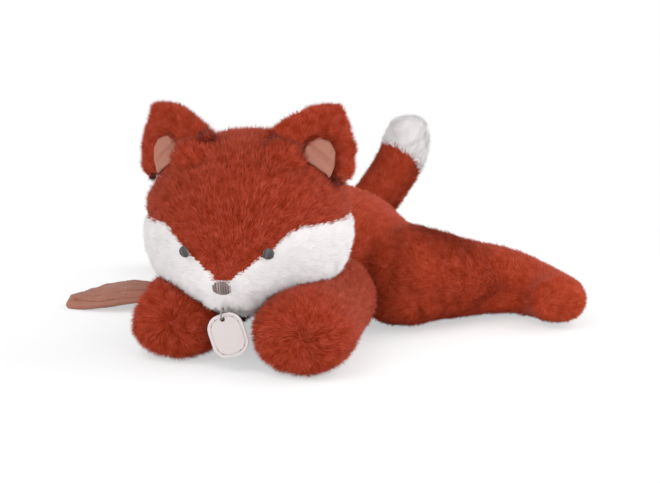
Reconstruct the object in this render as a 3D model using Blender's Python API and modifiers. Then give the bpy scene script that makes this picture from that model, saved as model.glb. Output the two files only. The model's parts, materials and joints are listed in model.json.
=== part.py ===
"""Plush fox lying on its belly: sewn covers over stuffing, soft limbs, ears and tail, leaf and hang tag."""

import math

import bmesh
import bpy
from mathutils import Matrix, Vector

MM = 0.001

# Cloth, seams and clearances
PLUSH_THICKNESS = 2.5 * MM
SEAM_GAP = 0.3 * MM
FILL_GAP = 0.4 * MM
SWING_GAP = 0.9 * MM
FLOOR_CUT = 0.5 * MM
OVERRUN = 40 * MM
BEYOND = 1000 * MM

# Head, measured from its centre; the fox faces -Y and its left side is +X
HEAD_HALF_WIDTH = 65 * MM
HEAD_RADIUS = 57 * MM
HEAD_HEIGHT = 82 * MM
HEAD_TURN = math.radians(13)
HEAD_TILT = math.radians(-1)
MUZZLE_SWELL = 14 * MM
CHEEK_SWELL = 5 * MM
NECK_RADIUS = 30 * MM
FACE_SEAM_DEPTH = 16 * MM
HEAD_NOD = math.radians(18)

# Torso
TORSO_FRONT = 42 * MM
TORSO_LENGTH = 124 * MM
TORSO_WIDTH = 124 * MM
TORSO_HEIGHT = 88 * MM
TORSO_SEAM_HEIGHT = 26 * MM

# Front legs, from the shoulder; the right paw's tip keeps its place beside the tag
ARM_REACH = 100 * MM
ARM_WIDTH = 59 * MM
ARM_HEIGHT = 57 * MM
SHOULDER_OUT = 40 * MM
SHOULDER_BACK = 34 * MM
ARM_TURN_LEFT = math.radians(13)
PAW_SHIFT_RIGHT = 15.6 * MM
ARM_SWING = math.radians(20)

# Hind legs, from the hip
LEG_REACH = 130 * MM
LEG_WIDTH = 68 * MM
LEG_HEIGHT = 70 * MM
HIP_OUT = 74 * MM
LIMB_GAP = 4 * MM
LEG_TURN_LEFT = math.radians(45)
LEG_TURN_RIGHT = math.radians(62)
LEG_SWING = math.radians(8)

# Tail
TAIL_THICKNESS = 36 * MM
TAIL_RISE = 72 * MM
TAIL_OUT = 6 * MM
TAIL_SWEEP = 26 * MM
TAIL_BASE_HEIGHT = 50 * MM
TAIL_BASE_DEPTH = 10 * MM
TAIL_BORDER_TILT = math.radians(46)
TAIL_BORDER_TURN = math.radians(64)
TAIL_SWING = math.radians(16)

# Ears
EAR_WIDTH = 60 * MM
EAR_LENGTH = 40 * MM
EAR_THICKNESS = 16 * MM
EAR_OUT = 41 * MM
EAR_UP = 36 * MM
EAR_FORWARD = 12 * MM
EAR_BACK = math.radians(8)
EAR_YAW = math.radians(22)
EAR_RIM = 11 * MM
EAR_RECESS = 4 * MM
LINING_THICKNESS = 2 * MM
EAR_FLEX = math.radians(10)

# Eyes and nose
EYE_RADIUS = 3.8 * MM
EYE_THICKNESS = 2.4 * MM
EYE_OUT = 25.2 * MM
EYE_SHIFT = 1.2 * MM
EYE_DROP = 8.2 * MM
NOSE_WIDTH = 12 * MM
NOSE_HEIGHT = 9.5 * MM
NOSE_THICKNESS = 9 * MM
NOSE_DROP = 28.8 * MM

# Leaf of quilted lining cloth, lying beside the right flank
LEAF_LENGTH = 66 * MM
LEAF_WIDTH = 40 * MM
LEAF_THICKNESS = 7 * MM
LEAF_PLY = 1.2 * MM
LEAF_WELT = 3.5 * MM
LEAF_LIFT = 9 * MM
LEAF_OVERHANG = 0.2 * MM
LEAF_TURN = math.radians(-28)
LEAF_FLAP = math.radians(60)
TAB_REACH = 42 * MM
TAB_WIDTH = 15 * MM
TAB_THICKNESS = 2.4 * MM
TAB_RISE = 4 * MM
TAB_SHIFT = 3 * MM

# Hang tag on its loop under the chin
TAG_FORWARD = 58 * MM
TAG_DROP = 50 * MM
TAG_OUT = -3 * MM
TAG_ROLL = math.radians(-20)
TAG_LEAN = math.radians(8)
TAG_WIDTH = 23 * MM
TAG_HEIGHT = 27 * MM
TAG_THICKNESS = 0.9 * MM
TAG_CORNER = 9 * MM
TAG_HOLE_RADIUS = 1.6 * MM
TAG_HOLE_INSET = 3.2 * MM
TAG_SWING = math.radians(12)
LOOP_RADIUS = 3.4 * MM
LOOP_WIRE = 0.5 * MM
CORNER_STEPS = 5
LOOP_STEPS = 16
PIVOT_SIZE = 12 * MM

# Cage shapes, as shares of the sizes above
ROUND = 1.0
SAGGED = 0.7
CAGE_PASSES = 6
HEAD_SEGMENTS = 26
HEAD_RINGS = 16
BALL_SEGMENTS = 20
SEAT_SEGMENTS = 28
PAD_SEGMENTS = 12
NOD_STEPS = 6
LIMB_SIDES = 8
TORSO_SIDES = 12
# Along the reach, then across, up, out of line and off the floor
ARM_SHARES = (
    (-0.21, 0.62, 0.62, 0.0, 0.0),
    (-0.12, 0.90, 0.90, 0.0, 0.0),
    (0.0, 1.0, 1.0, 0.0, 0.0),
    (0.26, 0.93, 0.97, 0.03, 0.0),
    (0.52, 0.98, 0.95, 0.03, 0.0),
    (0.76, 1.08, 0.94, 0.0, 0.0),
    (0.91, 0.88, 0.78, -0.03, 0.05),
    (0.98, 0.47, 0.50, -0.04, 0.18),
)
LEG_SHARES = (
    (-0.21, 0.58, 0.58, 0.0, 0.0),
    (-0.12, 0.88, 0.88, 0.0, 0.0),
    (0.0, 1.0, 1.0, 0.0, 0.0),
    (0.30, 0.90, 0.80, 0.04, 0.0),
    (0.50, 0.80, 0.70, 0.0, 0.0),
    (0.62, 0.70, 0.60, -0.17, 0.0),
    (0.67, 0.66, 0.52, -0.44, 0.0),
    (0.65, 0.60, 0.50, -0.66, 0.03),
    (0.61, 0.38, 0.34, -0.81, 0.10),
)
TORSO_SHARES = (
    (0.03, 0.42, 0.50),
    (0.14, 0.78, 0.78),
    (0.34, 0.97, 0.95),
    (0.54, 1.0, 1.0),
    (0.74, 0.93, 0.94),
    (0.89, 0.70, 0.74),
    (0.98, 0.34, 0.42),
)
# Along the rise, sideways sweep, backward sweep, thickness
TAIL_SHARES = (
    (-0.16, -0.05, -0.30, 0.62),
    (-0.08, -0.02, -0.16, 0.90),
    (0.0, 0.0, 0.0, 1.0),
    (0.24, 0.30, 0.42, 0.98),
    (0.50, 0.68, 0.80, 1.0),
    (0.76, 0.92, 0.97, 0.97),
    (0.95, 1.0, 1.0, 0.76),
    (1.03, 1.0, 1.0, 0.42),
)
TAIL_BORDER_SHARE = 0.64
# Radius of the opening that each limb was filled through, in widths of the limb's end there
OPENING_SHARE = 0.45
ROUND_SHARES = (1.0, 1.0, 1.0)
# Along the ear, out of line, across it, through it
EAR_SHARES = (
    (-0.40, 0.06, 0.78, 1.0),
    (0.0, 0.0, 0.98, 1.0),
    (0.28, 0.0, 1.0, 0.95),
    (0.50, 0.02, 0.90, 0.90),
    (0.68, 0.08, 0.70, 0.85),
    (0.83, 0.16, 0.50, 0.80),
    (0.95, 0.23, 0.24, 0.60),
)
LINING_SHARES = (
    (-0.26, 0.07),
    (-0.20, 0.20),
    (0.0, 0.27),
    (0.22, 0.28),
    (0.38, 0.23),
    (0.45, 0.12),
    (0.38, 0.01),
    (0.20, -0.06),
    (0.0, -0.09),
    (-0.16, -0.04),
)
# Along the leaf, across it, through it, lift, bend out of line
LEAF_SHARES = (
    (0.0, 0.50, 0.60, 0.25, 0.0),
    (0.14, 0.86, 0.84, 0.55, 0.0),
    (0.34, 1.0, 1.0, 0.50, 0.02),
    (0.56, 0.90, 1.0, 0.25, 0.04),
    (0.76, 0.66, 0.90, 0.05, 0.08),
    (0.90, 0.38, 0.76, 0.0, 0.12),
    (0.98, 0.18, 0.60, 0.0, 0.15),
)
# Direction of the middle of each swelling on the head, and its spread
MUZZLE_SHARES = (0.0, -0.86, -0.51)
MUZZLE_SPREAD = 0.42
CHEEK_SHARES = (0.80, -0.38, -0.46)
CHEEK_SPREAD = 0.40
# Direction of the neck opening
NECK_SHARES = (0.0, 1.0, -0.7)
# The line between red crown and white cheeks: out from the middle, up from the centre
FACE_LINE_SHARES = (
    (0.0, -0.42),
    (0.10, -0.40),
    (0.26, -0.20),
    (0.42, -0.06),
    (0.52, 0.06),
    (0.66, 0.13),
    (0.85, 0.12),
    (1.30, 0.12),
)

FUR_RED = (0.42, 0.075, 0.03)
FUR_WHITE = (0.87, 0.83, 0.82)
LINING_MAUVE = (0.46, 0.21, 0.15)
THREAD_DARK = (0.06, 0.055, 0.06)
THREAD_SILVER = (0.42, 0.42, 0.45)
FIBRE_WHITE = (0.85, 0.85, 0.83)
CARD_PALE = (0.80, 0.76, 0.76)


def new_collection(name):
    """A collection in the scene."""
    collection = bpy.data.collections.new(name)
    bpy.context.scene.collection.children.link(collection)
    return collection


def material(name, colour, roughness):
    """A plain Principled finish."""
    made = bpy.data.materials.new(name)
    made.use_nodes = True
    shader = made.node_tree.nodes["Principled BSDF"]
    shader.inputs["Base Color"].default_value = (*colour, 1.0)
    shader.inputs["Roughness"].default_value = roughness
    shader.inputs["Metallic"].default_value = 0.0
    return made


def object_from(bm, name, collection, finish=None):
    """Turn a bmesh into a smooth object of a collection."""
    mesh = bpy.data.meshes.new(name)
    bm.to_mesh(mesh)
    bm.free()
    mesh.shade_smooth()
    if finish:
        mesh.materials.append(finish)
    made = bpy.data.objects.new(name, mesh)
    collection.objects.link(made)
    if finish is None:
        made.hide_render = True
        made.display_type = "WIRE"
    return made


def through(values):
    """Cage values whose subdivided curve passes through the given ones."""
    cage = list(values)
    for _ in range(CAGE_PASSES):
        inner = [(a + 4 * b + c) / 6 for a, b, c in zip(cage, cage[1:], cage[2:])]
        smooth = [cage[0], *inner, cage[-1]]
        cage = [c + v - s for c, v, s in zip(cage, values, smooth)]
    return cage


def loft(name, stations, facing, sides, collection, finish, belly=ROUND, spine=None):
    """A swelling form over rings, each (centre, width, height); facing is the side that heights point to.

    A form with a belly lies on the floor: its rings stand upright and are squarer below the middle.
    With a spine, every ring lies square to that direction."""
    columns = [through(column) for column in zip(*((*c, w, h) for c, w, h in stations))]
    rings = list(zip(*columns))
    grow = 3 / (2 + math.cos(2 * math.pi / sides))
    bm = bmesh.new()
    loops = []
    for index, (x, y, z, width, height) in enumerate(rings):
        before = Vector(rings[max(index - 1, 0)][:3])
        after = Vector(rings[min(index + 1, len(rings) - 1)][:3])
        along = (after - before).normalized()
        if belly != ROUND:
            along -= facing * along.dot(facing)
        if spine:
            along = spine
        across = along.cross(facing).normalized()
        upward = across.cross(along).normalized()
        loop = []
        for side in range(sides):
            angle = 2 * math.pi * side / sides
            out, up = math.cos(angle), math.sin(angle)
            if up < 0:
                out = math.copysign(abs(out) ** belly, out)
            place = Vector((x, y, z)) + across * (out * width * grow / 2) + upward * (up * height * grow / 2)
            loop.append(bm.verts.new(place))
        loops.append(loop)
    for first, second in zip(loops, loops[1:]):
        for side in range(sides):
            after = (side + 1) % sides
            bm.faces.new((first[side], second[side], second[after], first[after]))
    bm.faces.new(loops[0])
    bm.faces.new(reversed(loops[-1]))
    made = object_from(bm, name, collection, finish)
    rounding = made.modifiers.new("Rounding", "SUBSURF")
    rounding.levels = rounding.render_levels = 1
    return made


def grown(stations, amount):
    """The same stations with the surface moved out by an amount."""
    return [(centre, width + 2 * amount, height + 2 * amount) for centre, width, height in stations]


def lengthened(stations, amount):
    """The same stations with both ends moved out along the path."""
    first, second = Vector(stations[0][0]), Vector(stations[1][0])
    last, before = Vector(stations[-1][0]), Vector(stations[-2][0])
    head = (first + (first - second).normalized() * amount, *stations[0][1:])
    tail = (last + (last - before).normalized() * amount, *stations[-1][1:])
    return [head, *stations[1:-1], tail]


def wall(piece):
    """Make a skin a layer of plush, inwards."""
    modifier = piece.modifiers.new("Cloth", "SOLIDIFY")
    modifier.thickness = PLUSH_THICKNESS
    modifier.offset = -1


def shrink(piece):
    """Make a skin the fibre that fills the plush of the same skin."""
    modifier = piece.modifiers.new("Filling", "DISPLACE")
    modifier.mid_level = 0
    modifier.strength = -PLUSH_THICKNESS - FILL_GAP


def cut(piece, cutter, operation="DIFFERENCE"):
    """A Boolean with another object."""
    modifier = piece.modifiers.new(cutter.name, "BOOLEAN")
    modifier.operation = operation
    modifier.solver = "EXACT"
    modifier.object = cutter


def ball(name, centre, radius, collection, turn=None, shares=ROUND_SHARES, segments=BALL_SEGMENTS):
    """A ball or spheroid whose poles lie on X, outside its nominal radius at every facet."""
    bm = bmesh.new()
    bmesh.ops.create_uvsphere(bm, u_segments=segments, v_segments=segments // 2, radius=1)
    reach = radius / math.cos(math.pi / segments)
    place = Matrix.Translation(centre) @ (turn or Matrix.Identity(4))
    sizes = Matrix.Diagonal((*(reach * share for share in shares), 1))
    bm.transform(place @ sizes @ Matrix.Rotation(math.pi / 2, 4, "Y"))
    return object_from(bm, name, collection)


def box(name, lowest, highest, collection, finish=None):
    """An upright box between two corners."""
    bm = bmesh.new()
    bmesh.ops.create_cube(bm, size=1)
    low, high = Vector(lowest), Vector(highest)
    bm.transform(Matrix.Translation((low + high) / 2) @ Matrix.Diagonal((*(high - low), 1)))
    return object_from(bm, name, collection, finish)


def prism(name, outline, depth, place, collection, finish=None):
    """A flat outline in its own XY plane, extruded up from it, then placed."""
    bm = bmesh.new()
    base = bm.faces.new([bm.verts.new((x, y, 0)) for x, y in outline])
    lifted = bmesh.ops.extrude_face_region(bm, geom=[base])["geom"]
    moved = [item for item in lifted if isinstance(item, bmesh.types.BMVert)]
    bmesh.ops.translate(bm, verts=moved, vec=(0, 0, depth))
    bmesh.ops.recalc_face_normals(bm, faces=bm.faces)
    bm.transform(place)
    return object_from(bm, name, collection, finish)


class Fox:
    """Builds every piece in one frame: the head's centre stands over X0 Y0 and the floor is Z0."""

    def __init__(self):
        self.pieces = new_collection("PlushFox")
        self.cutters = new_collection("Cutters")
        self.red = material("red_plush", FUR_RED, 0.95)
        self.white = material("white_plush", FUR_WHITE, 0.95)
        self.mauve = material("lining_cloth", LINING_MAUVE, 0.8)
        self.dark = material("dark_thread", THREAD_DARK, 0.5)
        self.silver = material("silver_thread", THREAD_SILVER, 0.4)
        self.fibre = material("polyester_fibre", FIBRE_WHITE, 1.0)
        self.card = material("tag_card", CARD_PALE, 0.6)
        self.base = bpy.data.objects.new("fox_base", None)
        self.pieces.objects.link(self.base)
        self.carriers = {}
        self.head_place = Vector((0, 0, HEAD_HEIGHT))
        self.head_turn = Matrix.Rotation(HEAD_TURN, 4, "Z") @ Matrix.Rotation(HEAD_TILT, 4, "Y")
        self.head_frame = Matrix.Translation(self.head_place) @ self.head_turn
        shoulder = ARM_HEIGHT / 2 - FLOOR_CUT
        hip = LEG_HEIGHT / 2 - FLOOR_CUT
        arm_radius = max(ARM_WIDTH, ARM_HEIGHT) / 2
        leg_radius = max(LEG_WIDTH, LEG_HEIGHT) / 2
        apart = arm_radius + leg_radius + LIMB_GAP
        hip_back = SHOULDER_BACK + math.sqrt(apart**2 - (HIP_OUT - SHOULDER_OUT) ** 2)
        tail_back = TORSO_FRONT + TORSO_LENGTH - TAIL_BASE_DEPTH
        self.places = {
            "head": self.head_place,
            "arm_left": Vector((SHOULDER_OUT, SHOULDER_BACK, shoulder)),
            "arm_right": Vector((-SHOULDER_OUT, SHOULDER_BACK, shoulder)),
            "leg_left": Vector((HIP_OUT, hip_back, hip)),
            "leg_right": Vector((-HIP_OUT, hip_back, hip)),
            "tail": Vector((TAIL_OUT, tail_back, TAIL_BASE_HEIGHT)),
        }
        self.radii = {
            "arm_left": arm_radius,
            "arm_right": arm_radius,
            "leg_left": leg_radius,
            "leg_right": leg_radius,
            "tail": TAIL_THICKNESS / 2,
        }

    def ride(self, piece, body):
        """Parent a piece to the empty of its body."""
        carrier, frame = self.carriers[body]
        piece.parent = carrier
        piece.matrix_parent_inverse = frame.inverted()

    def body(self, name, place, parent=None, axis=(1, 0, 0), lowest=0.0, highest=0.0):
        """An empty on a joint's axis, which is its own X; it keeps the joint's range in radians."""
        above, origin = self.carriers[parent] if parent else (self.base, Matrix.Identity(4))
        turn = Vector(axis).to_track_quat("X", "Z").to_matrix().to_4x4()
        frame = Matrix.Translation(place) @ turn
        empty = bpy.data.objects.new(name + "_pivot", None)
        empty.empty_display_size = PIVOT_SIZE
        self.pieces.objects.link(empty)
        empty.parent = above
        empty.matrix_basis = origin.inverted() @ frame
        empty["lowest"], empty["highest"] = lowest, highest
        self.carriers[name] = (empty, frame)

    def helper(self, cutter):
        """Keep a cutter with the fox."""
        cutter.parent = self.base
        return cutter

    def half_space(self, name, point, away):
        """A cutter that takes all on one side of a plane."""
        bm = bmesh.new()
        bmesh.ops.create_cube(bm, size=BEYOND)
        facing = Vector(away).to_track_quat("Z", "Y").to_matrix().to_4x4()
        bm.transform(Matrix.Translation(point) @ facing @ Matrix.Translation((0, 0, BEYOND / 2)))
        return self.helper(object_from(bm, name, self.cutters))

    def torso_stations(self):
        """Rings from the chest to the rump."""
        found = []
        for along, wide, high in TORSO_SHARES:
            height = TORSO_HEIGHT * high
            centre = (0, TORSO_FRONT + TORSO_LENGTH * along, height / 2 - FLOOR_CUT)
            found.append((Vector(centre), TORSO_WIDTH * wide, height))
        return found

    def limb_stations(self, side, reach, width, height, turn, place, shares):
        """Rings from a limb's root to its tip, lying on the floor; side is 1 for left."""
        ahead = Vector((math.sin(turn), -math.cos(turn), 0))
        outward = Vector((math.cos(turn), math.sin(turn), 0)) * side
        found = []
        for along, wide, high, out, lift in shares:
            centre = place + ahead * (reach * along) + outward * (width * out)
            rise = height * high
            centre.z = rise / 2 - FLOOR_CUT + height * lift if along >= 0 else place.z
            found.append((centre, width * wide, rise))
        return found

    def make_helpers(self):
        """Cutters shared by several pieces."""
        up = Vector((0, 0, 1))
        self.floor = self.half_space("floor_cutter", Vector(), -up)
        self.seats = {
            name: self.helper(
                ball(name + "_seat", self.places[name], radius + SWING_GAP, self.cutters)
            )
            for name, radius in self.radii.items()
        }
        spheroid = (HEAD_HALF_WIDTH / HEAD_RADIUS, 1, 1)
        self.head_seat = self.helper(
            ball(
                "head_seat",
                self.head_place,
                HEAD_RADIUS + SWING_GAP,
                self.cutters,
                self.head_turn,
                spheroid,
                SEAT_SEGMENTS,
            )
        )
        self.head_space = self.helper(self.head_form("head_space", SEAM_GAP))

    def swung(self, body, axis, angle):
        """What stands still, as a body swinging by an angle meets it."""
        place = self.places[body]
        turn = Matrix.Rotation(-angle, 4, Vector(axis))
        return Matrix.Translation(place) @ turn @ Matrix.Translation(-place)

    def torso_room(self, name, swing):
        """The torso's own room, swung about a joint."""
        room = lengthened(grown(self.torso_stations(), SWING_GAP), SWING_GAP)
        stations = [(swing @ centre, width, height) for centre, width, height in room]
        facing = swing.to_3x3() @ Vector((0, 0, 1))
        return self.helper(loft(name, stations, facing, TORSO_SIDES, self.cutters, None, SAGGED))

    def space_round(self, body, axis, angles, nods=False):
        """The room a swinging body leaves to the torso, but for its root ball, and to the nodding head."""
        space = None
        for step, angle in enumerate(angles):
            room = self.torso_room(f"{body}_torso_{step}", self.swung(body, axis, angle))
            if space:
                cut(space, room, "UNION")
            space = space or room
        radius = self.radii[body] + SEAM_GAP
        cut(space, self.helper(ball(body + "_core", self.places[body], radius, self.cutters)))
        for step, angle in enumerate(angles if nods else ()):
            room = self.helper(self.head_form(f"{body}_head_{step}", SWING_GAP, None, NOD_STEPS))
            room.data.transform(self.swung(body, axis, angle))
            cut(space, room, "UNION")
        return space

    def head_reach(self, way):
        """How far the head's skin lies from its centre along a direction."""
        across = way.x / HEAD_HALF_WIDTH
        around = math.hypot(way.y, way.z) / HEAD_RADIUS
        reach = 1 / math.hypot(across, around)
        swellings = (
            (MUZZLE_SHARES, MUZZLE_SPREAD, MUZZLE_SWELL),
            (CHEEK_SHARES, CHEEK_SPREAD, CHEEK_SWELL),
            ((-CHEEK_SHARES[0], *CHEEK_SHARES[1:]), CHEEK_SPREAD, CHEEK_SWELL),
        )
        for middle, spread, swell in swellings:
            reach += swell * math.exp(-((way.angle(Vector(middle)) / spread) ** 2) / 2)
        return reach

    def head_form(self, name, grow, finish=None, nods=0):
        """The head's rounded skin with its muzzle and cheeks, or the room it takes as it nods up."""
        bm = bmesh.new()
        bmesh.ops.create_uvsphere(bm, u_segments=HEAD_SEGMENTS, v_segments=HEAD_RINGS, radius=1)
        bm.transform(Matrix.Rotation(math.pi / 2, 4, "Y"))
        for vert in bm.verts:
            way = vert.co.normalized()
            lowered = [
                Matrix.Rotation(HEAD_NOD * step / max(nods, 1), 3, "X") @ way
                for step in range(nods + 1)
            ]
            vert.co = way * (max(self.head_reach(place) for place in lowered) + grow)
        bm.transform(self.head_frame)
        return object_from(bm, name, self.pieces if finish else self.cutters, finish)

    def head_point(self, out, drop):
        """A place on the head's skin, from its distances out and below the centre."""
        ahead = HEAD_RADIUS
        for _ in range(CAGE_PASSES):
            reach = self.head_reach(Vector((out, -ahead, -drop)).normalized())
            ahead = math.sqrt(reach**2 - out**2 - drop**2)
        return Vector((out, -ahead, -drop))

    def make_torso(self):
        """Back and belly panels, sewn along the sides, over one body of fibre."""
        up = Vector((0, 0, 1))
        high, low = TORSO_SEAM_HEIGHT + SEAM_GAP / 2, TORSO_SEAM_HEIGHT - SEAM_GAP / 2
        below = self.half_space("below_side_seam", Vector((0, 0, high)), -up)
        above = self.half_space("above_side_seam", Vector((0, 0, low)), up)
        self.body("torso", Vector())
        for name, half in (("torso_back_panel", below), ("torso_belly_panel", above)):
            panel = loft(name, self.torso_stations(), up, TORSO_SIDES, self.pieces, self.red, SAGGED)
            wall(panel)
            cut(panel, half)
            if half is above:
                cut(panel, self.floor)
            for seat in (self.head_seat, *self.seats.values()):
                cut(panel, seat)
            self.ride(panel, "torso")
        stations = self.torso_stations()
        filling = loft("torso_stuffing", stations, up, TORSO_SIDES, self.pieces, self.fibre, SAGGED)
        shrink(filling)
        for cutter in (self.head_seat, *self.seats.values()):
            cut(filling, cutter)
        self.ride(filling, "torso")

    def root_opening(self, name, stations):
        """A cutter for the opening through which a limb was filled."""
        centre, width, _ = stations[0]
        return self.helper(ball(name + "_opening", centre, width * OPENING_SHARE, self.cutters))

    def make_limb(self, name, stations, space, axis, lowest, highest):
        """A cover open at its root, and the fibre in it."""
        up = Vector((0, 0, 1))
        self.body(name, self.places[name], None, axis, lowest, highest)
        cover = loft(name + "_cover", stations, up, LIMB_SIDES, self.pieces, self.red, SAGGED)
        wall(cover)
        cut(cover, self.root_opening(name, stations))
        filling = loft(name + "_stuffing", stations, up, LIMB_SIDES, self.pieces, self.fibre, SAGGED)
        shrink(filling)
        for piece in (cover, filling):
            cut(piece, space)
            self.ride(piece, name)
        cut(cover, self.floor)

    def make_limbs(self):
        """Front and hind legs; the head rests on the front ones."""
        for side, word in ((1, "left"), (-1, "right")):
            name = "arm_" + word
            turn = ARM_TURN_LEFT if side > 0 else math.asin(PAW_SHIFT_RIGHT / ARM_REACH)
            stations = self.limb_stations(
                side, ARM_REACH, ARM_WIDTH, ARM_HEIGHT, turn, self.places[name], ARM_SHARES
            )
            outward = (0, 0, side)
            space = self.space_round(name, outward, (0, ARM_SWING / 2, ARM_SWING), True)
            self.make_limb(name, stations, space, outward, 0.0, ARM_SWING)
            name = "leg_" + word
            turn = LEG_TURN_LEFT if side > 0 else LEG_TURN_RIGHT
            stations = self.limb_stations(
                side, LEG_REACH, LEG_WIDTH, LEG_HEIGHT, math.pi / 2 * side + turn * side,
                self.places[name], LEG_SHARES,
            )
            space = self.space_round(name, outward, (0, -LEG_SWING, LEG_SWING))
            self.make_limb(name, stations, space, outward, -LEG_SWING, LEG_SWING)

    def tail_stations(self):
        """Rings up the tail, which rises from the rump and sweeps to the left."""
        found = []
        for rise, side, back, thick in TAIL_SHARES:
            centre = self.places["tail"] + Vector(
                (TAIL_SWEEP * side, TAIL_SWEEP * back, TAIL_RISE * rise)
            )
            found.append((centre, TAIL_THICKNESS * thick, TAIL_THICKNESS * thick))
        return found

    def make_tail(self):
        """A red sleeve, a white tip and the fibre in both."""
        back = Vector((0, 1, 0))
        self.body("tail", self.places["tail"], None, back, -TAIL_SWING, TAIL_SWING)
        stations = self.tail_stations()
        shift = Vector((TAIL_SWEEP, TAIL_SWEEP, TAIL_RISE)) * TAIL_BORDER_SHARE
        border = self.places["tail"] + shift
        leaning = Matrix.Rotation(TAIL_BORDER_TURN, 3, "Z") @ Matrix.Rotation(TAIL_BORDER_TILT, 3, "Y")
        onward = leaning @ Vector((0, 0, 1))
        below = self.half_space("below_tail_seam", border + onward * SEAM_GAP / 2, -onward)
        above = self.half_space("above_tail_seam", border - onward * SEAM_GAP / 2, onward)
        sleeve = loft("tail_sleeve", stations, back, LIMB_SIDES, self.pieces, self.red)
        tip = loft("tail_tip", stations, back, LIMB_SIDES, self.pieces, self.white)
        for piece, half in ((sleeve, above), (tip, below)):
            wall(piece)
            cut(piece, half)
        cut(sleeve, self.root_opening("tail", stations))
        filling = loft("tail_stuffing", stations, back, LIMB_SIDES, self.pieces, self.fibre)
        shrink(filling)
        space = self.space_round("tail", back, (0, -TAIL_SWING, TAIL_SWING))
        cut(sleeve, space)
        cut(filling, space)
        for piece in (sleeve, tip, filling):
            self.ride(piece, "tail")

    def make_head(self):
        """Red crown, two white cheeks sewn down the middle, and the fibre in them."""
        upward = self.head_turn.to_3x3() @ Vector((-1, 0, 0))
        self.body("head", self.head_place, None, upward, 0.0, HEAD_NOD)
        depth = HEAD_RADIUS + OVERRUN
        line = [(HEAD_HALF_WIDTH * out, HEAD_RADIUS * up) for out, up in FACE_LINE_SHARES]
        floor = -HEAD_RADIUS - OVERRUN
        upright = Matrix.Rotation(math.pi / 2, 4, "X")
        ahead = self.head_frame @ Matrix.Translation((0, FACE_SEAM_DEPTH, 0)) @ upright
        corner = (line[-1][0], floor)
        mirrored = [(-x, z) for x, z in reversed(line[1:])]
        both = [*line, corner, (-corner[0], floor), *mirrored]
        face = self.helper(prism("face_space", both, depth, ahead, self.cutters))
        neck_way = Vector(NECK_SHARES).normalized()
        neck = self.helper(
            ball(
                "neck_opening",
                self.head_frame @ (neck_way * HEAD_RADIUS),
                NECK_RADIUS,
                self.cutters,
            )
        )
        crown = self.head_form("crown_panel", 0, self.red)
        wall(crown)
        cut(crown, face)
        cut(crown, neck)
        self.ride(crown, "head")
        gap = SEAM_GAP
        back = self.head_frame @ Matrix.Translation((0, FACE_SEAM_DEPTH - gap, 0)) @ upright
        for side, word in ((1, "left"), (-1, "right")):
            half = [(gap / 2 * side, floor), *((max(x, gap / 2) * side, z - gap) for x, z in line)]
            half.append((line[-1][0] * side, floor))
            space = self.helper(
                prism(f"cheek_{word}_space", half, depth, back, self.cutters)
            )
            cheek = self.head_form(f"cheek_{word}_panel", 0, self.white)
            wall(cheek)
            cut(cheek, space, "INTERSECT")
            self.ride(cheek, "head")
        filling = self.head_form("head_stuffing", 0, self.fibre)
        shrink(filling)
        self.ride(filling, "head")

    def make_face(self):
        """Embroidered eyes, set a little to the fox's left, and a satin-stitched nose."""
        space = self.head_space
        for side, word in ((1, "left"), (-1, "right")):
            place = self.head_point(EYE_OUT * side + EYE_SHIFT, EYE_DROP)
            facing = place.to_track_quat("Y", "Z").to_matrix().to_4x4()
            sizes = Matrix.Diagonal((EYE_RADIUS, EYE_THICKNESS, EYE_RADIUS, 1))
            self.stitch_pad(f"eye_{word}", place, facing @ sizes, self.dark, space)
        place = self.head_point(0, NOSE_DROP)
        facing = place.to_track_quat("Y", "Z").to_matrix().to_4x4()
        sizes = Matrix.Diagonal((NOSE_WIDTH / 2, NOSE_THICKNESS / 2, NOSE_HEIGHT / 2, 1))
        self.stitch_pad("nose", place, facing @ sizes, self.silver, space)

    def stitch_pad(self, name, place, shape, finish, space):
        """A low dome of thread standing on the skin."""
        bm = bmesh.new()
        bmesh.ops.create_uvsphere(bm, u_segments=PAD_SEGMENTS, v_segments=PAD_SEGMENTS // 2, radius=1)
        bm.transform(self.head_frame @ Matrix.Translation(place) @ shape)
        pad = object_from(bm, name, self.pieces, finish)
        cut(pad, space)
        self.ride(pad, "head")

    def make_ears(self):
        """Thick plush ears with a lining sewn into the hollow in front."""
        for side, word in ((1, "left"), (-1, "right")):
            root = Vector((EAR_OUT * side, -EAR_FORWARD, EAR_UP))
            place = self.head_frame @ root
            turn = (
                Matrix.Rotation(EAR_YAW * side, 4, "Z")
                @ Matrix.Rotation(-EAR_BACK, 4, "X")
            )
            frame = self.head_frame @ Matrix.Translation(root) @ turn
            axis = (frame.to_3x3() @ Vector((1, 0, 0))).normalized()
            self.body("ear_" + word, place, "head", axis, -EAR_FLEX, EAR_FLEX)
            stations = [
                (
                    frame @ Vector((EAR_WIDTH * out * side, 0, EAR_LENGTH * along)),
                    EAR_WIDTH * wide,
                    EAR_THICKNESS * thick,
                )
                for along, out, wide, thick in EAR_SHARES
            ]
            facing = (frame.to_3x3() @ Vector((0, -1, 0))).normalized()
            spine = (frame.to_3x3() @ Vector((0, 0, 1))).normalized()
            shell = loft(
                f"ear_{word}_plush", stations, facing, TORSO_SIDES, self.pieces, self.red, ROUND, spine
            )
            outline = [(EAR_WIDTH * out * side, EAR_LENGTH * along) for along, out in LINING_SHARES]
            upright = frame @ Matrix.Rotation(math.pi / 2, 4, "X")
            floor = EAR_THICKNESS / 2 - EAR_RECESS
            inset = SEAM_GAP / EAR_RIM
            hollow = self.helper(
                prism(
                    f"ear_{word}_hollow",
                    [(x * (1 + inset), z) for x, z in outline],
                    OVERRUN,
                    upright @ Matrix.Translation((0, 0, floor)),
                    self.cutters,
                )
            )
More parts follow.
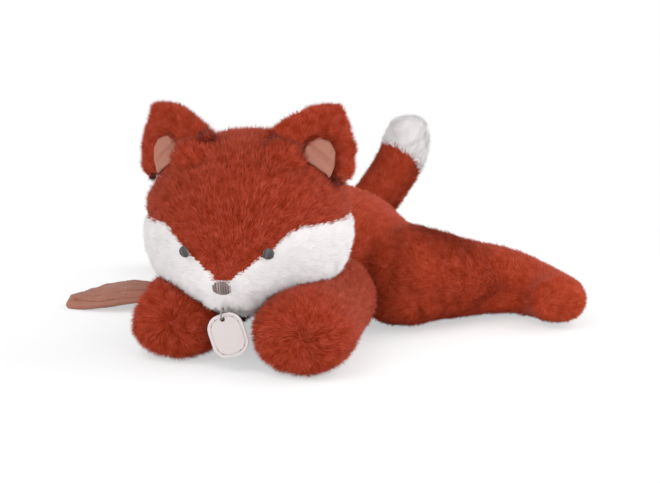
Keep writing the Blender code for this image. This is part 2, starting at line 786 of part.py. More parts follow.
            lining = prism(
                f"ear_{word}_lining",
                [(x * (1 - inset), z * (1 - inset) + SEAM_GAP) for x, z in outline],
                LINING_THICKNESS,
                upright @ Matrix.Translation((0, 0, floor + SEAM_GAP)),
                self.pieces,
                self.mauve,
            )
            cut(shell, hollow)
            for piece in (shell, lining):
                for step in (-1, 0, 1):
                    space = self.ear_space(word, place, axis, EAR_FLEX * step, step)
                    cut(piece, space)
                self.ride(piece, "ear_" + word)

    def ear_space(self, word, place, axis, angle, step):
        """The head's space as the bent ear meets it."""
        name = f"ear_{word}_head_{step + 1}"
        if name in bpy.data.objects:
            return bpy.data.objects[name]
        space = self.head_form(name, SEAM_GAP)
        swing = Matrix.Translation(place) @ Matrix.Rotation(-angle, 4, axis) @ Matrix.Translation(-place)
        space.data.transform(swing)
        return self.helper(space)

    def make_leaf(self):
        """A quilted leaf hinged on a flat tab that is sewn into the right side seam."""
        up = Vector((0, 0, 1))
        gap_middle = (self.places["arm_right"].y + self.places["leg_right"].y) / 2
        edge = -TORSO_WIDTH / 2
        hinge = Vector((edge - TAB_REACH, gap_middle - TAB_SHIFT, TAB_RISE + TAB_THICKNESS + SEAM_GAP))
        ahead = Vector((-math.cos(LEAF_TURN), math.sin(LEAF_TURN), 0))
        outward = Vector((-ahead.y, ahead.x, 0))
        self.body("leaf", hinge, None, -outward, 0.0, LEAF_FLAP)
        self.leaf_across = outward
        stations = []
        for along, wide, thick, lift, bend in LEAF_SHARES:
            height = LEAF_THICKNESS * thick
            centre = hinge + ahead * (LEAF_LENGTH * along - LEAF_OVERHANG) + outward * (LEAF_WIDTH * bend)
            centre.z = height / 2 - FLOOR_CUT + LEAF_LIFT * lift
            stations.append((centre, LEAF_WIDTH * wide, height))
        space = self.helper(self.leaf_filling("leaf_space", stations, 0, self.cutters, None))
        under = self.helper(self.leaf_slab("under_leaf_seam", stations, -1))
        over = self.helper(self.leaf_slab("over_leaf_seam", stations, 1))
        for name, half in (("leaf_top_cloth", under), ("leaf_bottom_cloth", over)):
            ply = loft(name, stations, up, LIMB_SIDES, self.pieces, self.mauve, SAGGED)
            cut(ply, space)
            cut(ply, half)
            if half is over:
                cut(ply, self.floor)
            self.ride(ply, "leaf")
        wadding = self.leaf_filling("leaf_wadding", stations, FILL_GAP, self.pieces, self.fibre)
        self.ride(wadding, "leaf")
        half = TAB_WIDTH / 2
        lowest = (hinge.x - TAB_WIDTH, hinge.y - half, TAB_RISE)
        highest = (edge + TAB_REACH, hinge.y + half, TAB_RISE + TAB_THICKNESS)
        tab = box("leaf_tab", lowest, highest, self.pieces, self.mauve)
        cut(tab, self.half_space("leaf_fold", hinge, ahead))
        room = lengthened(grown(self.torso_stations(), SEAM_GAP), SEAM_GAP)
        cut(tab, self.helper(loft("tab_torso", room, up, TORSO_SIDES, self.cutters, None, SAGGED)))
        self.ride(tab, "torso")

    def leaf_filling(self, name, stations, gap, collection, finish):
        """The room between the two plies, inside the welt round the edge."""
        inner = [
            (centre, width - 2 * (LEAF_WELT + gap), height - 2 * (LEAF_PLY + gap))
            for centre, width, height in stations[1:-2]
        ]
        up = Vector((0, 0, 1))
        return loft(name, lengthened(inner, -gap), up, LIMB_SIDES, collection, finish, SAGGED)

    def leaf_slab(self, name, stations, side):
        """A cutter that takes the leaf's upper or lower half, along its lifted middle."""
        bm = bmesh.new()
        rows = []
        for centre, _, height in lengthened(stations, OVERRUN / 2):
            near = centre.z - SEAM_GAP / 2 * side
            far = centre.z + OVERRUN * side
            across = self.leaf_across * LEAF_LENGTH
            corners = ((-1, near), (1, near), (1, far), (-1, far))
            row = []
            for out, z in corners:
                place = centre + across * out
                row.append(bm.verts.new((place.x, place.y, z)))
            rows.append(row)
        for first, second in zip(rows, rows[1:]):
            for corner in range(4):
                after = (corner + 1) % 4
                bm.faces.new((first[corner], first[after], second[after], second[corner]))
        bm.faces.new(rows[0])
        bm.faces.new(rows[-1])
        bmesh.ops.recalc_face_normals(bm, faces=bm.faces)
        return object_from(bm, name, self.cutters)

    def make_tag(self):
        """A blank card on a small loop sewn under the chin."""
        hang = self.head_frame @ Vector((TAG_OUT, -TAG_FORWARD, -TAG_DROP))
        upward = self.head_turn.to_3x3() @ Vector((-1, 0, 0))
        self.body("tag", hang, "head", upward, -TAG_SWING, TAG_SWING)
        steps = CORNER_STEPS
        outline = []
        half, high = TAG_WIDTH / 2 - TAG_CORNER, TAG_HEIGHT - TAG_CORNER
        corners = ((half, -TAG_CORNER), (-half, -TAG_CORNER), (-half, -high), (half, -high))
        for start, (cx, cz) in enumerate(corners):
            for step in range(steps + 1):
                angle = (start + step / steps) * math.pi / 2
                outline.append((cx + TAG_CORNER * math.cos(angle), cz + TAG_CORNER * math.sin(angle)))
        lean = Matrix.Rotation(-TAG_LEAN, 4, "X") @ Matrix.Rotation(TAG_ROLL, 4, "Y")
        place = Matrix.Translation(hang) @ self.head_turn @ lean
        standing = Matrix.Rotation(math.pi / 2, 4, "X")
        upright = place @ Matrix.Translation((0, TAG_THICKNESS / 2, TAG_HOLE_INSET)) @ standing
        card = prism("tag_card", outline, TAG_THICKNESS, upright, self.pieces, self.card)
        turn = place.to_3x3().to_4x4()
        hole = ball("tag_hole", hang, TAG_HOLE_RADIUS, self.cutters, turn, segments=PAD_SEGMENTS)
        cut(card, self.helper(hole))
        self.ride(card, "tag")
        loop = bpy.data.curves.new("tag_loop", "CURVE")
        loop.dimensions = "3D"
        loop.bevel_depth = LOOP_WIRE
        loop.bevel_resolution = 1
        spline = loop.splines.new("POLY")
        turns = LOOP_STEPS
        spline.points.add(turns - 1)
        for step, point in enumerate(spline.points):
            angle = 2 * math.pi * step / turns
            ring = Vector((0, math.sin(angle), 1 + math.cos(angle))) * LOOP_RADIUS
            point.co = (*(self.head_turn.to_3x3() @ ring + hang), 1)
        spline.use_cyclic_u = True
        loop.materials.append(self.dark)
        ring = bpy.data.objects.new("tag_loop", loop)
        self.pieces.objects.link(ring)
        self.ride(ring, "head")

    def centre(self):
        """Stand the whole fox on the middle of its own bounding box."""
        bpy.context.view_layer.update()
        graph = bpy.context.evaluated_depsgraph_get()
        corners = []
        for piece in self.pieces.objects:
            if piece.type == "EMPTY":
                continue
            evaluated = piece.evaluated_get(graph)
            corners += [evaluated.matrix_world @ vert.co for vert in evaluated.to_mesh().vertices]
            evaluated.to_mesh_clear()
        for axis in (0, 1):
            values = [corner[axis] for corner in corners]
            self.base.location[axis] = -(min(values) + max(values)) / 2
        bpy.context.view_layer.update()


def main():
    for old in list(bpy.data.objects):
        bpy.data.objects.remove(old)
    fox = Fox()
    fox.make_helpers()
    fox.make_torso()
    fox.make_limbs()
    fox.make_tail()
    fox.make_head()
    fox.make_face()
    fox.make_ears()
    fox.make_leaf()
    fox.make_tag()
    fox.centre()
    return fox


main()
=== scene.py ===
"""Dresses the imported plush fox: combed pile on each stuffed form, stitched face, quilted leaf and tag."""

import heapq
import json
import math
from typing import NamedTuple

import bmesh
import bpy
import numpy as np
from mathutils import Matrix, Vector, noise
from mathutils.bvhtree import BVHTree


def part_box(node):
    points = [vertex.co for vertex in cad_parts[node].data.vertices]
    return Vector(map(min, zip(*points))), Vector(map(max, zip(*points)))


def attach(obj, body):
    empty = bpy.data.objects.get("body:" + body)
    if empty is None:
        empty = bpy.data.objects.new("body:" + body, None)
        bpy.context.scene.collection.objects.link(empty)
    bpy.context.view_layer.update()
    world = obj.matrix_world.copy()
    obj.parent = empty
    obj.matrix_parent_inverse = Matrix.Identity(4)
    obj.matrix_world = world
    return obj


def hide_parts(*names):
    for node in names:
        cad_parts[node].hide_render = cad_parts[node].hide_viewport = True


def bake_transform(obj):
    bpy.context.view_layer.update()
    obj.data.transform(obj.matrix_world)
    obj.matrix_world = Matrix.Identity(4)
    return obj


bl_info = {
    "name": "Plush Fox",
    "version": (1, 0, 0),
    "blender": (4, 5, 0),
    "location": "3D View > Sidebar > Plush Fox",
    "description": "Dresses a lying plush fox with pile, stitches, a quilted leaf and a tag",
    "category": "Object",
}

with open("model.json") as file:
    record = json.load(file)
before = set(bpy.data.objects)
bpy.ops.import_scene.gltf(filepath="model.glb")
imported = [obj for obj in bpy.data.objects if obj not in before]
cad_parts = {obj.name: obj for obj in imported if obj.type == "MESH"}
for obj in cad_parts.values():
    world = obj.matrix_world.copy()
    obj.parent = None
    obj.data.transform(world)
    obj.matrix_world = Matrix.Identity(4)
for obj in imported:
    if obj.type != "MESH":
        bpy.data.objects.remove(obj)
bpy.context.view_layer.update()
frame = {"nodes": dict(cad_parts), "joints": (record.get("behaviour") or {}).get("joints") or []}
MM = 0.001


class Skin(NamedTuple):
    """How fine a skin is, how far it swells, how often it is eased, and how wide a groove it shuts."""

    voxel: float
    swell: float
    rounds: int
    closing: float = 0.0


class Pile(NamedTuple):
    """A pile's finish, its number of strands, how flat and tousled they lie, their locks, seed and width."""

    finish: str
    strands: int
    lie: float
    tousle: float
    lock_size: float
    seed: int
    width: float = 1.0


# Photograph: how the camera stands to the head
PHOTO_WIDTH, PHOTO_HEIGHT = 660, 483
CAMERA_TURN = math.radians(28)
CAMERA_RISE = math.radians(12)
CAMERA_AWAY = 1.10
FOCAL_PIXELS = 1746
HEAD_PIXEL = (250, 218)
SENSOR_WIDTH = 36.0

# Light: each lamp's name, way from the head, distance, size and power, then the sky's strength
LAMPS = (
    ("key", (-0.35, -0.75, 1.0), 1.3, 1.3, 9),
    ("fill", (0.95, -0.8, 0.45), 1.4, 1.3, 7),
    ("front", (0.15, -1.0, 0.02), 1.5, 1.2, 9.5),
    ("rim", (0.9, 0.7, 0.8), 1.3, 1.1, 9.5),
)
SKY_STRENGTH = 0.55

# Floor: its half width, and where it fades to plain white
FLOOR_HALF = 6
FADE_START, FADE_END = 0.12, 0.42

# Shading of a strand: shares of the skin's way and of its own, and how far it turns up to the light
SKIN_SHARE, STRAND_SHARE = 0.75, 0.55
LIGHT_LIFT = {"red_plush": 0.4, "white_plush": 0.6}

# Where a form lies on the floor: how near, how far turned down, and how much pile is left
FLOOR_NEAR, TURNED_DOWN, LAIN_ON_COVER = 3.5 * MM, -0.75, 0.12

# Body and hind legs
BODY_SKIN = Skin(voxel=2.6 * MM, swell=-1.0 * MM, rounds=9, closing=3.0 * MM)
BODY_PILE = Pile("short red pile", 64000, lie=0.55, tousle=0.5, lock_size=120.0, seed=3, width=1.5)
LEG_PILE = BODY_PILE._replace(seed=12)
LEG_STRANDS = {"left": 63000, "right": 46000}
BODY_WAY = (0, 1.0, -0.35)
HIP_BEND_IN, HIP_BEND_OUT = 18 * MM, 8 * MM

# Pads that fill a hip: how far in, back and down from its joint, and their half sizes, in millimetres
HIP_PADS = ((13, 0, 0, (31, 30, 30)), (5, -3, 16, (33, 30, 17)), (30, 6, -6, (28, 34, 30)))

# From a hip: the middle of its foot, and of the notch before its thigh, in millimetres
FOOT_MIDDLE = (85, 16, -19)
NOTCH_MIDDLE = (-8, -34)
NOTCH_REACH, NOTCH_PILE = 17 * MM, 0.45

# Creases of the left hind leg: points in millimetres, then depth and width
THIGH_CREASE = ((62, -9, 36), (79, -3, 27.5), (83, 0, 21), (83, 10, 6)), 4.6 * MM, 3.8 * MM
HEEL_HOLLOW = ((126, 52, 20), (118, 43, 10)), 6.0 * MM, 9.0 * MM
THIGH_FOLD = ((79, -3, 46), (79, -3, 27)), 2.2 * MM, 6.0 * MM
CREASE_THINNING = 0.3

# Forelegs
ARM_SKIN = Skin(voxel=2.4 * MM, swell=-0.7 * MM, rounds=7, closing=1.5 * MM)
ARM_PILE = Pile("red pile", 62000, lie=0.5, tousle=0.95, lock_size=190.0, seed=11)
SHOULDER_PAD = (22, 22, 22)
PAW_SPAN, PAW_SWIRL, PAW_REACH, PAW_PILE = 6 * MM, 0.35, 30 * MM, 0.15
LEAN, LEAN_START, LEAN_SPAN, LEAN_FOOT = 0.38, 2 * MM, 14 * MM, 16 * MM

# Tail
TAIL_SKIN = Skin(voxel=2.0 * MM, swell=-0.9 * MM, rounds=6)
TAIL_RED_PILE = Pile("short red pile", 26000, lie=0.5, tousle=0.6, lock_size=120.0, seed=5, width=1.3)
TAIL_WHITE_PILE = Pile("white pile", 26000, lie=0.45, tousle=1.1, lock_size=200.0, seed=6)
TAIL_PAD, TAIL_PAD_RISE = (15, 15, 17), 4 * MM
TIP_PILE, TIP_START = 1.1, 2 * MM

# Head: its skin and piles
HEAD_SKIN = Skin(voxel=1.8 * MM, swell=-0.4 * MM, rounds=6)
HEAD_PANELS = ("crown_panel", "cheek_left_panel", "cheek_right_panel")
CROWN_PILE = Pile("red pile", 66000, lie=0.52, tousle=1.0, lock_size=170.0, seed=21)
CHEEK_LEFT_PILE = Pile("white pile", 50000, lie=0.52, tousle=0.85, lock_size=180.0, seed=22)
CHEEK_RIGHT_PILE = CHEEK_LEFT_PILE._replace(seed=23)

# Mound under each ear: its half sizes in millimetres, and where it lies from the ear's joint
MOUND, MOUND_INWARD, MOUND_PLACE = (13, 12, 11), 15 * MM, (0, -3 * MM, 5 * MM)

# Border of crown and cheeks: how it moves with distance from the nose, and behind the cheeks
BORDER_REACH, BORDER_MOVE, BORDER_START = 30 * MM, 3.4 * MM, -0.8 * MM
REAR_AHEAD, REAR_RISE, REAR_MOVE = 12 * MM, 22 * MM, -2.5 * MM

# Point above the nose: its reach, then in millimetres its foot and each side's start, slope and height
POINT_REACH, POINT_FOOT = 14 * MM, 2
POINT_RIGHT, POINT_LEFT = (-7.0, -0.58, 4.8), (5.2, 1.17, 5.0)

# Length of the head's pile: at the nose, how soon it grows, and at most
NOSE_PILE, PILE_GROWTH, LONGEST_PILE = 0.42, 75 * MM, 1.05

# Where the head's pile is shorter or longer: how far that reaches, and by what share
EYE_REACH, EYE_THINNING = 6 * MM, 0.6
SEAM_DROP, SEAM_REACH, SEAM_THINNING = 2 * MM, 1.6 * MM, 0.7
BORDER_WIDTH, BORDER_THINNING = 3.4 * MM, 0.55
LOOP_REACH, LOOP_PILE = 9 * MM, 0.9

# Ears
EAR_SKIN = Skin(voxel=1.3 * MM, swell=-3.6 * MM, rounds=4)
EAR_PILE = Pile("red pile", 46000, lie=0.45, tousle=0.9, lock_size=150.0, seed=31)
EAR_PAD, EAR_PAD_DROP = (18, 9, 11), 4 * MM
EAR_COMB_SHARE = 0.18
LINING_HANG, LINING_REACH, LINING_BARE = 0.15, 5 * MM, 2.5 * MM
EAR_ROOT_REACH, EAR_ROOT_PILE = 5 * MM, 0.4
LINING_SKIN = Skin(voxel=0.7 * MM, swell=0.5 * MM, rounds=5)
BOWL_DEPTH, FOLD_DEPTH, FOLD_WIDTH, FOLD_SLANT = 0.7, 1.4, 1.6 * MM, 0.25

# Face: half width, half height and dome in millimetres, turn, finish, slot, and millimetres out and up
FACE = {
    "eye_left": (3.6, 3.6, 1.5, 0.2, "eye thread", "dark_thread", 0.9, 0.0),
    "eye_right": (3.6, 3.6, 1.5, -0.2, "eye thread", "dark_thread", 0.9, 0.0),
    "nose": (5.9, 4.9, 2.4, 0.0, "nose thread", "silver_thread", 1.0, 1.0),
}

# Leaf
LEAF_SKIN = Skin(voxel=0.9 * MM, swell=0.0, rounds=4)
STEM_SKIN = Skin(voxel=0.6 * MM, swell=0.1 * MM, rounds=3)
LEAF_ROWS = 25
RIB_SHARE, RIB_WIDTH = 0.3, 1.4 * MM
WELT_INSET, WELT_WIDTH = 3.6 * MM, 0.9 * MM
PUCKER_INSET, PUCKER_WIDTH = 5 * MM, 3.0 * MM
LEAF_FADE = 5 * MM
STITCH_SPACING, STITCH_LENGTH, STITCH_RADIUS, STITCH_LIFT = 2.6 * MM, 2.0 * MM, 0.28 * MM, 0.12 * MM

# Raised line round the tag: its steps, how far it lies in from the edge, and its half width, rise and root
LINE_STEPS, LINE_INSET = 48, 2.2 * MM
LINE_HALF, LINE_RISE, LINE_ROOT = 0.35, 0.18, 0.15


def length_setting(name, description, default):
    """A length that a user can set."""
    return bpy.props.FloatProperty(name=name, description=description, default=default, unit="LENGTH")


def colour_setting(name, description, default):
    """A colour that a user can set."""
    return bpy.props.FloatVectorProperty(
        name=name, description="Colour of the " + description, subtype="COLOR", default=default, min=0, max=1
    )


class FoxSettings(bpy.types.PropertyGroup):
    """Sizes and colours that a user would change."""

    crown_length: length_setting("Crown pile", "Length of the pile on the head", 7.0 * MM)
    cheek_length: length_setting("Cheek pile", "Length of the white pile", 5.6 * MM)
    body_length: length_setting("Body pile", "Length of the pile on body and hind legs", 5.0 * MM)
    arm_length: length_setting("Foreleg pile", "Length of the pile on the forelegs", 6.2 * MM)
    ear_length: length_setting("Ear pile", "Length of the pile on the ears", 6.5 * MM)
    tail_length: length_setting("Tail pile", "Length of the pile on the tail", 5.2 * MM)
    strand_width: length_setting("Strand width", "Width of one lock of pile", 0.55 * MM)
    red_tip: colour_setting("Red tips", "red pile at its tips", (0.452, 0.053, 0.0185))
    # Roots darker than tips: painted shade deep in the pile.
    red_root_painted_shade: colour_setting("Red roots", "red pile at its roots", (0.25, 0.022, 0.008))
    white_tip: colour_setting("White tips", "white pile at its tips", (0.97, 0.93, 0.93))
    # White roots a little darker than tips: painted shade deep in the pile.
    white_root_painted_shade: colour_setting("White roots", "white pile at its roots", (0.93, 0.88, 0.88))
    cloth: colour_setting("Lining", "smooth lining cloth", (0.385, 0.142, 0.09))
    eye_thread: colour_setting("Eye thread", "thread of the eyes", (0.042, 0.036, 0.037))
    nose_thread: colour_setting("Nose thread", "thread of the nose", (0.13, 0.095, 0.088))
    card: colour_setting("Card", "blank tag", (0.52, 0.465, 0.46))
    stitches: bpy.props.IntProperty(
        name="Stitches", description="Threads laid across an eye or the nose", default=8, min=3
    )


class Value:
    """A node socket that sums can be written on."""

    def __init__(self, tree, socket):
        self.tree, self.socket = tree, socket

    def math(self, operation, *terms):
        """The result of a Math node."""
        node = self.tree.nodes.new("ShaderNodeMath")
        node.operation = operation
        for socket, term in zip(node.inputs, terms):
            join(self.tree, term, socket)
        return Value(self.tree, node.outputs[0])

    def __add__(self, other):
        return self.math("ADD", self, other)

    def __sub__(self, other):
        return self.math("SUBTRACT", self, other)

    def __rsub__(self, other):
        return self.math("SUBTRACT", other, self)

    def __mul__(self, other):
        return self.math("MULTIPLY", self, other)

    def __truediv__(self, other):
        return self.math("DIVIDE", self, other)

    def __pow__(self, other):
        return self.math("POWER", self, other)

    __radd__, __rmul__ = __add__, __mul__

    def __getitem__(self, name):
        """Another output of the same node."""
        return Value(self.tree, named(self.socket.node.outputs, name))


def named(sockets, key):
    """A socket by its number, or the one in use with that name."""
    if isinstance(key, int):
        return sockets[key]
    return next(socket for socket in sockets if socket.name == key and socket.enabled)


def join(tree, term, socket):
    """Link a value to a socket, or set a plain one on it."""
    if isinstance(term, Value):
        tree.links.new(term.socket, socket)
    elif term is not None:
        socket.default_value = term


def add(tree, kind, settings=None, values=None, output=None):
    """Add a node, set it up, feed its sockets and return one of its outputs."""
    node = tree.nodes.new(kind)
    for key, setting in (settings or {}).items():
        setattr(node, key, setting)
    for key, term in (values or {}).items():
        join(tree, term, named(node.inputs, key))
    if not node.outputs:
        return None
    first = next(socket for socket in node.outputs if socket.enabled)
    return Value(tree, named(node.outputs, output) if output is not None else first)


def vector(tree, operation, first, second=None, scale=None):
    """A Vector Math node."""
    values = {0: first}
    if second is not None:
        values[1] = second
    if scale is not None:
        values["Scale"] = scale
    return add(tree, "ShaderNodeVectorMath", {"operation": operation}, values)


def combined(tree, x=None, y=None, z=None):
    """A vector from its three parts."""
    return add(tree, "ShaderNodeCombineXYZ", None, {"X": x, "Y": y, "Z": z})


def chance(tree, least, most, seed, kind="FLOAT"):
    """A random value for each point."""
    values = {"Min": least, "Max": most, "Seed": seed}
    return add(tree, "FunctionNodeRandomValue", {"data_type": kind}, values)


def trait(tree, name, kind="FLOAT"):
    """What a skin stores under a name."""
    return add(tree, "GeometryNodeInputNamedAttribute", {"data_type": kind}, {"Name": name})


def mixed(tree, factor, first, second):
    """A colour mix."""
    node = tree.nodes.new("ShaderNodeMix")
    node.data_type = "RGBA"
    for key, term in ((0, factor), (6, first), (7, second)):
        join(tree, (*term, 1.0) if isinstance(term, tuple) else term, node.inputs[key])
    return Value(tree, node.outputs[2])


def toned(colour, factor):
    """A darker or lighter colour."""
    return tuple(min(1, part * factor) for part in colour)


def finish_named(name):
    """A new material's tree and its Principled node."""
    made = bpy.data.materials.new(name)
    made.use_nodes = True
    return made.node_tree, made.node_tree.nodes["Principled BSDF"]


def dial(shader, values):
    """Set plain values on a shader's sockets."""
    for name, value in values.items():
        shader.inputs[name].default_value = value


def object_place(tree):
    """The object's own coordinates."""
    return add(tree, "ShaderNodeTexCoord", output="Object")


def spot(tree, scale, detail=2.0):
    """Noise over the object's own coordinates."""
    values = {"Vector": object_place(tree), "Scale": scale, "Detail": detail}
    return add(tree, "ShaderNodeTexNoise", None, values, "Fac")


def bands(tree, scale, distortion):
    """Fine slanting bands, as of a weave or of twisted thread."""
    return add(
        tree, "ShaderNodeTexWave", {"wave_type": "BANDS", "bands_direction": "DIAGONAL"},
        {"Vector": object_place(tree), "Scale": scale, "Distortion": distortion}, "Fac",
    )


def embossed(tree, shader, height, strength, distance):
    """Give a finish its relief."""
    bump = add(tree, "ShaderNodeBump", None, {"Strength": strength, "Distance": distance, "Height": height})
    join(tree, bump, shader.inputs["Normal"])


def pile_finish(name, root, tip, uneven):
    """Plush pile: painted shade at the roots, fading to lighter tips, and locks of more or less uneven tone.
    """
    tree, shader = finish_named(name)
    along = add(tree, "ShaderNodeAttribute", {"attribute_name": "along"}, output="Fac")
    tone = add(tree, "ShaderNodeAttribute", {"attribute_name": "tone"}, output="Fac")
    patch = spot(tree, 210.0)
    # Darker towards the roots: painted shade deep in the pile.
    colour = mixed(tree, along ** 0.8, tuple(root), tuple(tip))
    shade = (tone - 0.5) * (0.45 * uneven) + (patch - 0.5) * (0.95 * uneven)
    light = add(
        tree, "ShaderNodeHueSaturation", None,
        {"Color": colour, "Value": shade + 1.0, "Saturation": 1.0 - shade * 0.15},
    )
    join(tree, light, shader.inputs["Base Color"])
    dial(shader, {"Roughness": 0.75, "Specular IOR Level": 0.12})
    dial(shader, {"Sheen Weight": 0.05, "Sheen Roughness": 0.4})


def skin_finish(name, root):
    """The knitted backing that the pile grows from."""
    tree, shader = finish_named(name)
    patch = spot(tree, 900.0)
    join(tree, mixed(tree, patch, toned(root, 0.7), tuple(root)), shader.inputs["Base Color"])
    dial(shader, {"Roughness": 0.95})
    embossed(tree, shader, patch, 0.4, 0.3 * MM)


def cloth_finish(name, colour):
    """Smooth lining cloth, embossed with small sprigs, with a fine weave."""
    tree, shader = finish_named(name)
    weave = bands(tree, 900.0, 0.6)
    turned = add(
        tree, "ShaderNodeMapping", None,
        {"Vector": object_place(tree), "Rotation": (0.4, 0.2, 0.6), "Scale": (1, 1.9, 1.2)},
    )
    cells = add(
        tree, "ShaderNodeTexVoronoi", {"feature": "F1"},
        {"Vector": turned, "Scale": 150.0, "Randomness": 0.55}, "Distance",
    )
    sprig = add(tree, "ShaderNodeMapRange", None, {"Value": cells, "From Min": 0.30, "From Max": 0.16})
    patch, fine = spot(tree, 70.0), spot(tree, 1500.0, 3.0)
    base = mixed(tree, patch, toned(colour, 0.84), toned(colour, 1.16))
    marked = mixed(tree, sprig * 0.35, base, toned(colour, 0.62))
    join(tree, mixed(tree, fine * 0.3, marked, toned(colour, 1.35)), shader.inputs["Base Color"])
    join(tree, 0.52 + patch * 0.2, shader.inputs["Roughness"])
    dial(shader, {"Sheen Weight": 0.15})
    embossed(tree, shader, weave * 0.25 + sprig * -0.8 + fine * 0.3, 0.5, 0.35 * MM)


def thread_finish(name, colour):
    """Twisted, lustrous embroidery thread, coloured from painted shade to painted highlights."""
    tree, shader = finish_named(name)
    ply = bands(tree, 1100.0, 0.5)
    patch = spot(tree, 300.0)
    tone = add(tree, "ShaderNodeAttribute", {"attribute_name": "tone"}, output="Fac")
    # From near black to over three times the thread's colour: painted shade and painted highlights, set by
    # twist, patch and each thread's random tone.
    share = ply * 0.2 + patch * 0.2 + tone * 0.6
    join(tree, mixed(tree, share, toned(colour, 0.06), toned(colour, 3.3)), shader.inputs["Base Color"])
    join(tree, 0.32 + patch * 0.2, shader.inputs["Roughness"])
    embossed(tree, shader, ply, 0.35, 0.12 * MM)


def card_finish(name, colour):
    """Blank coated card with a faint fibre."""
    tree, shader = finish_named(name)
    patch, fine = spot(tree, 60.0), spot(tree, 1800.0, 3.0)
    base = mixed(tree, patch, toned(colour, 0.95), toned(colour, 1.04))
    join(tree, mixed(tree, fine * 0.15, base, toned(colour, 0.85)), shader.inputs["Base Color"])
    join(tree, 0.38 + fine * 0.15, shader.inputs["Roughness"])
    embossed(tree, shader, fine, 0.15, 0.05 * MM)


def settings():
    """The fox's sizes and colours."""
    return bpy.context.scene.plush_fox


def finishes():
    """The materials, made once."""
    if "red pile" not in bpy.data.materials:
        s = settings()
        pile_finish("red pile", s.red_root_painted_shade, s.red_tip, 1.0)
        # Short pile keeps lighter roots, so less painted shade; the red backing takes this colour.
        short_root_painted_shade = tuple(0.25 * root + 0.75 * tip for root, tip in zip(s.red_root_painted_shade, s.red_tip))
        pile_finish("short red pile", short_root_painted_shade, s.red_tip, 0.7)
        pile_finish("white pile", s.white_root_painted_shade, s.white_tip, 0.12)
        skin_finish("red backing", short_root_painted_shade)
        skin_finish("white backing", s.white_root_painted_shade)
        # Lining cloth toned down by a fifth: painted shade for what the ear's pile casts on its linings; leaf
        # and stem wear it too.
        cloth_finish("embossed lining", toned(s.cloth, 0.8))
        thread_finish("eye thread", s.eye_thread)
        thread_finish("nose thread", s.nose_thread)
        thread_finish("seam thread", toned(s.cloth, 0.8))
        thread_finish("loop thread", toned(s.card, 0.6))
        card_finish("blank card", s.card)
    return bpy.data.materials


def new_object(name, mesh):
    """A mesh as an object in the scene."""
    made = bpy.data.objects.new(name, mesh)
    bpy.context.scene.collection.objects.link(made)
    return made


def plain_object(name, bm):
    """A bmesh as an object; the bmesh itself is freed."""
    mesh = bpy.data.meshes.new(name)
    bm.to_mesh(mesh)
    bm.free()
    return new_object(name, mesh)


def merged(nodes, pads=()):
    """A bmesh of copies of CAD nodes, with their loose triangles joined, and of rounded pads."""
    bm = bmesh.new()
    for node in nodes:
        bm.from_mesh(frame["nodes"][node].data)
    bmesh.ops.remove_doubles(bm, verts=bm.verts, dist=0.01 * MM)
    for centre, sizes, along in pads:
        turn = Vector(along).to_track_quat("X", "Z").to_matrix().to_4x4()
        place = Matrix.Translation(centre) @ turn @ Matrix.Diagonal((*sizes, 1)) @ Matrix.Scale(MM, 4)
        bmesh.ops.create_icosphere(bm, subdivisions=4, radius=1, matrix=place)
    return bm


def settled(piece, name):
    """The piece's evaluated mesh as a plain object; the piece itself goes."""
    graph = bpy.context.evaluated_depsgraph_get()
    mesh = bpy.data.meshes.new_from_object(piece.evaluated_get(graph), depsgraph=graph)
    mesh.name = name
    old = piece.data
    bpy.data.objects.remove(piece)
    bpy.data.meshes.remove(old)
    return new_object(name, mesh)


def skin_from(nodes, name, plan, pads=()):
    """One smooth closed skin over CAD nodes and pads."""
    piece = plain_object(name + "_cage", merged(nodes, pads))
    reach = piece.modifiers.new("Reach", "DISPLACE")
    reach.mid_level = 0
    reach.strength = plan.closing
    remesh = piece.modifiers.new("Voxels", "REMESH")
    remesh.mode = "VOXEL"
    remesh.voxel_size = plan.voxel
    remesh.use_smooth_shade = True
    smooth = piece.modifiers.new("Soft", "SMOOTH")
    smooth.factor = 0.5
    smooth.iterations = plan.rounds
    push = piece.modifiers.new("Swell", "DISPLACE")
    push.mid_level = 0
    push.strength = plan.swell - plan.closing
    return settled(piece, name)


def points_of(mesh):
    """Vertex places and normals as arrays."""
    places = np.empty(len(mesh.vertices) * 3, np.float32)
    mesh.vertices.foreach_get("co", places)
    normals = np.empty(len(mesh.vertices) * 3, np.float32)
    mesh.vertex_normals.foreach_get("vector", normals)
    return places.reshape(-1, 3).astype(float), normals.reshape(-1, 3).astype(float)


def put_points(mesh, places):
    """Move a mesh's vertices to new places."""
    mesh.vertices.foreach_set("co", places.astype(np.float32).ravel())
    mesh.update()


def searched(bm):
    """A search tree over a bmesh, which is freed."""
    tree = BVHTree.FromBMesh(bm)
    bm.free()
    return tree


def reach_to(node, places):
    """How far each place lies from a CAD node."""
    tree = searched(merged([node]))
    return np.array([tree.find_nearest(Vector(place))[3] for place in places])


def falloff(apart, reach):
    """One at no distance, fading softly over a reach."""
    return np.exp(-((apart / reach) ** 2))


def strand():
    """One lock of pile, a unit long and wide: a three-sided spike that leans back from its own X."""
    mesh = bpy.data.meshes.new("strand")
    places = [(0, -0.5, 0), (0, 0.5, 0), (-0.07, 0, 0), (-0.18, 0, 1)]
    mesh.from_pydata(places, [], [(0, 1, 3), (1, 2, 3), (2, 0, 3)])
    along = mesh.attributes.new("along", "FLOAT", "POINT")
    along.data.foreach_set("value", [place[2] for place in places])
    return new_object("strand", mesh)


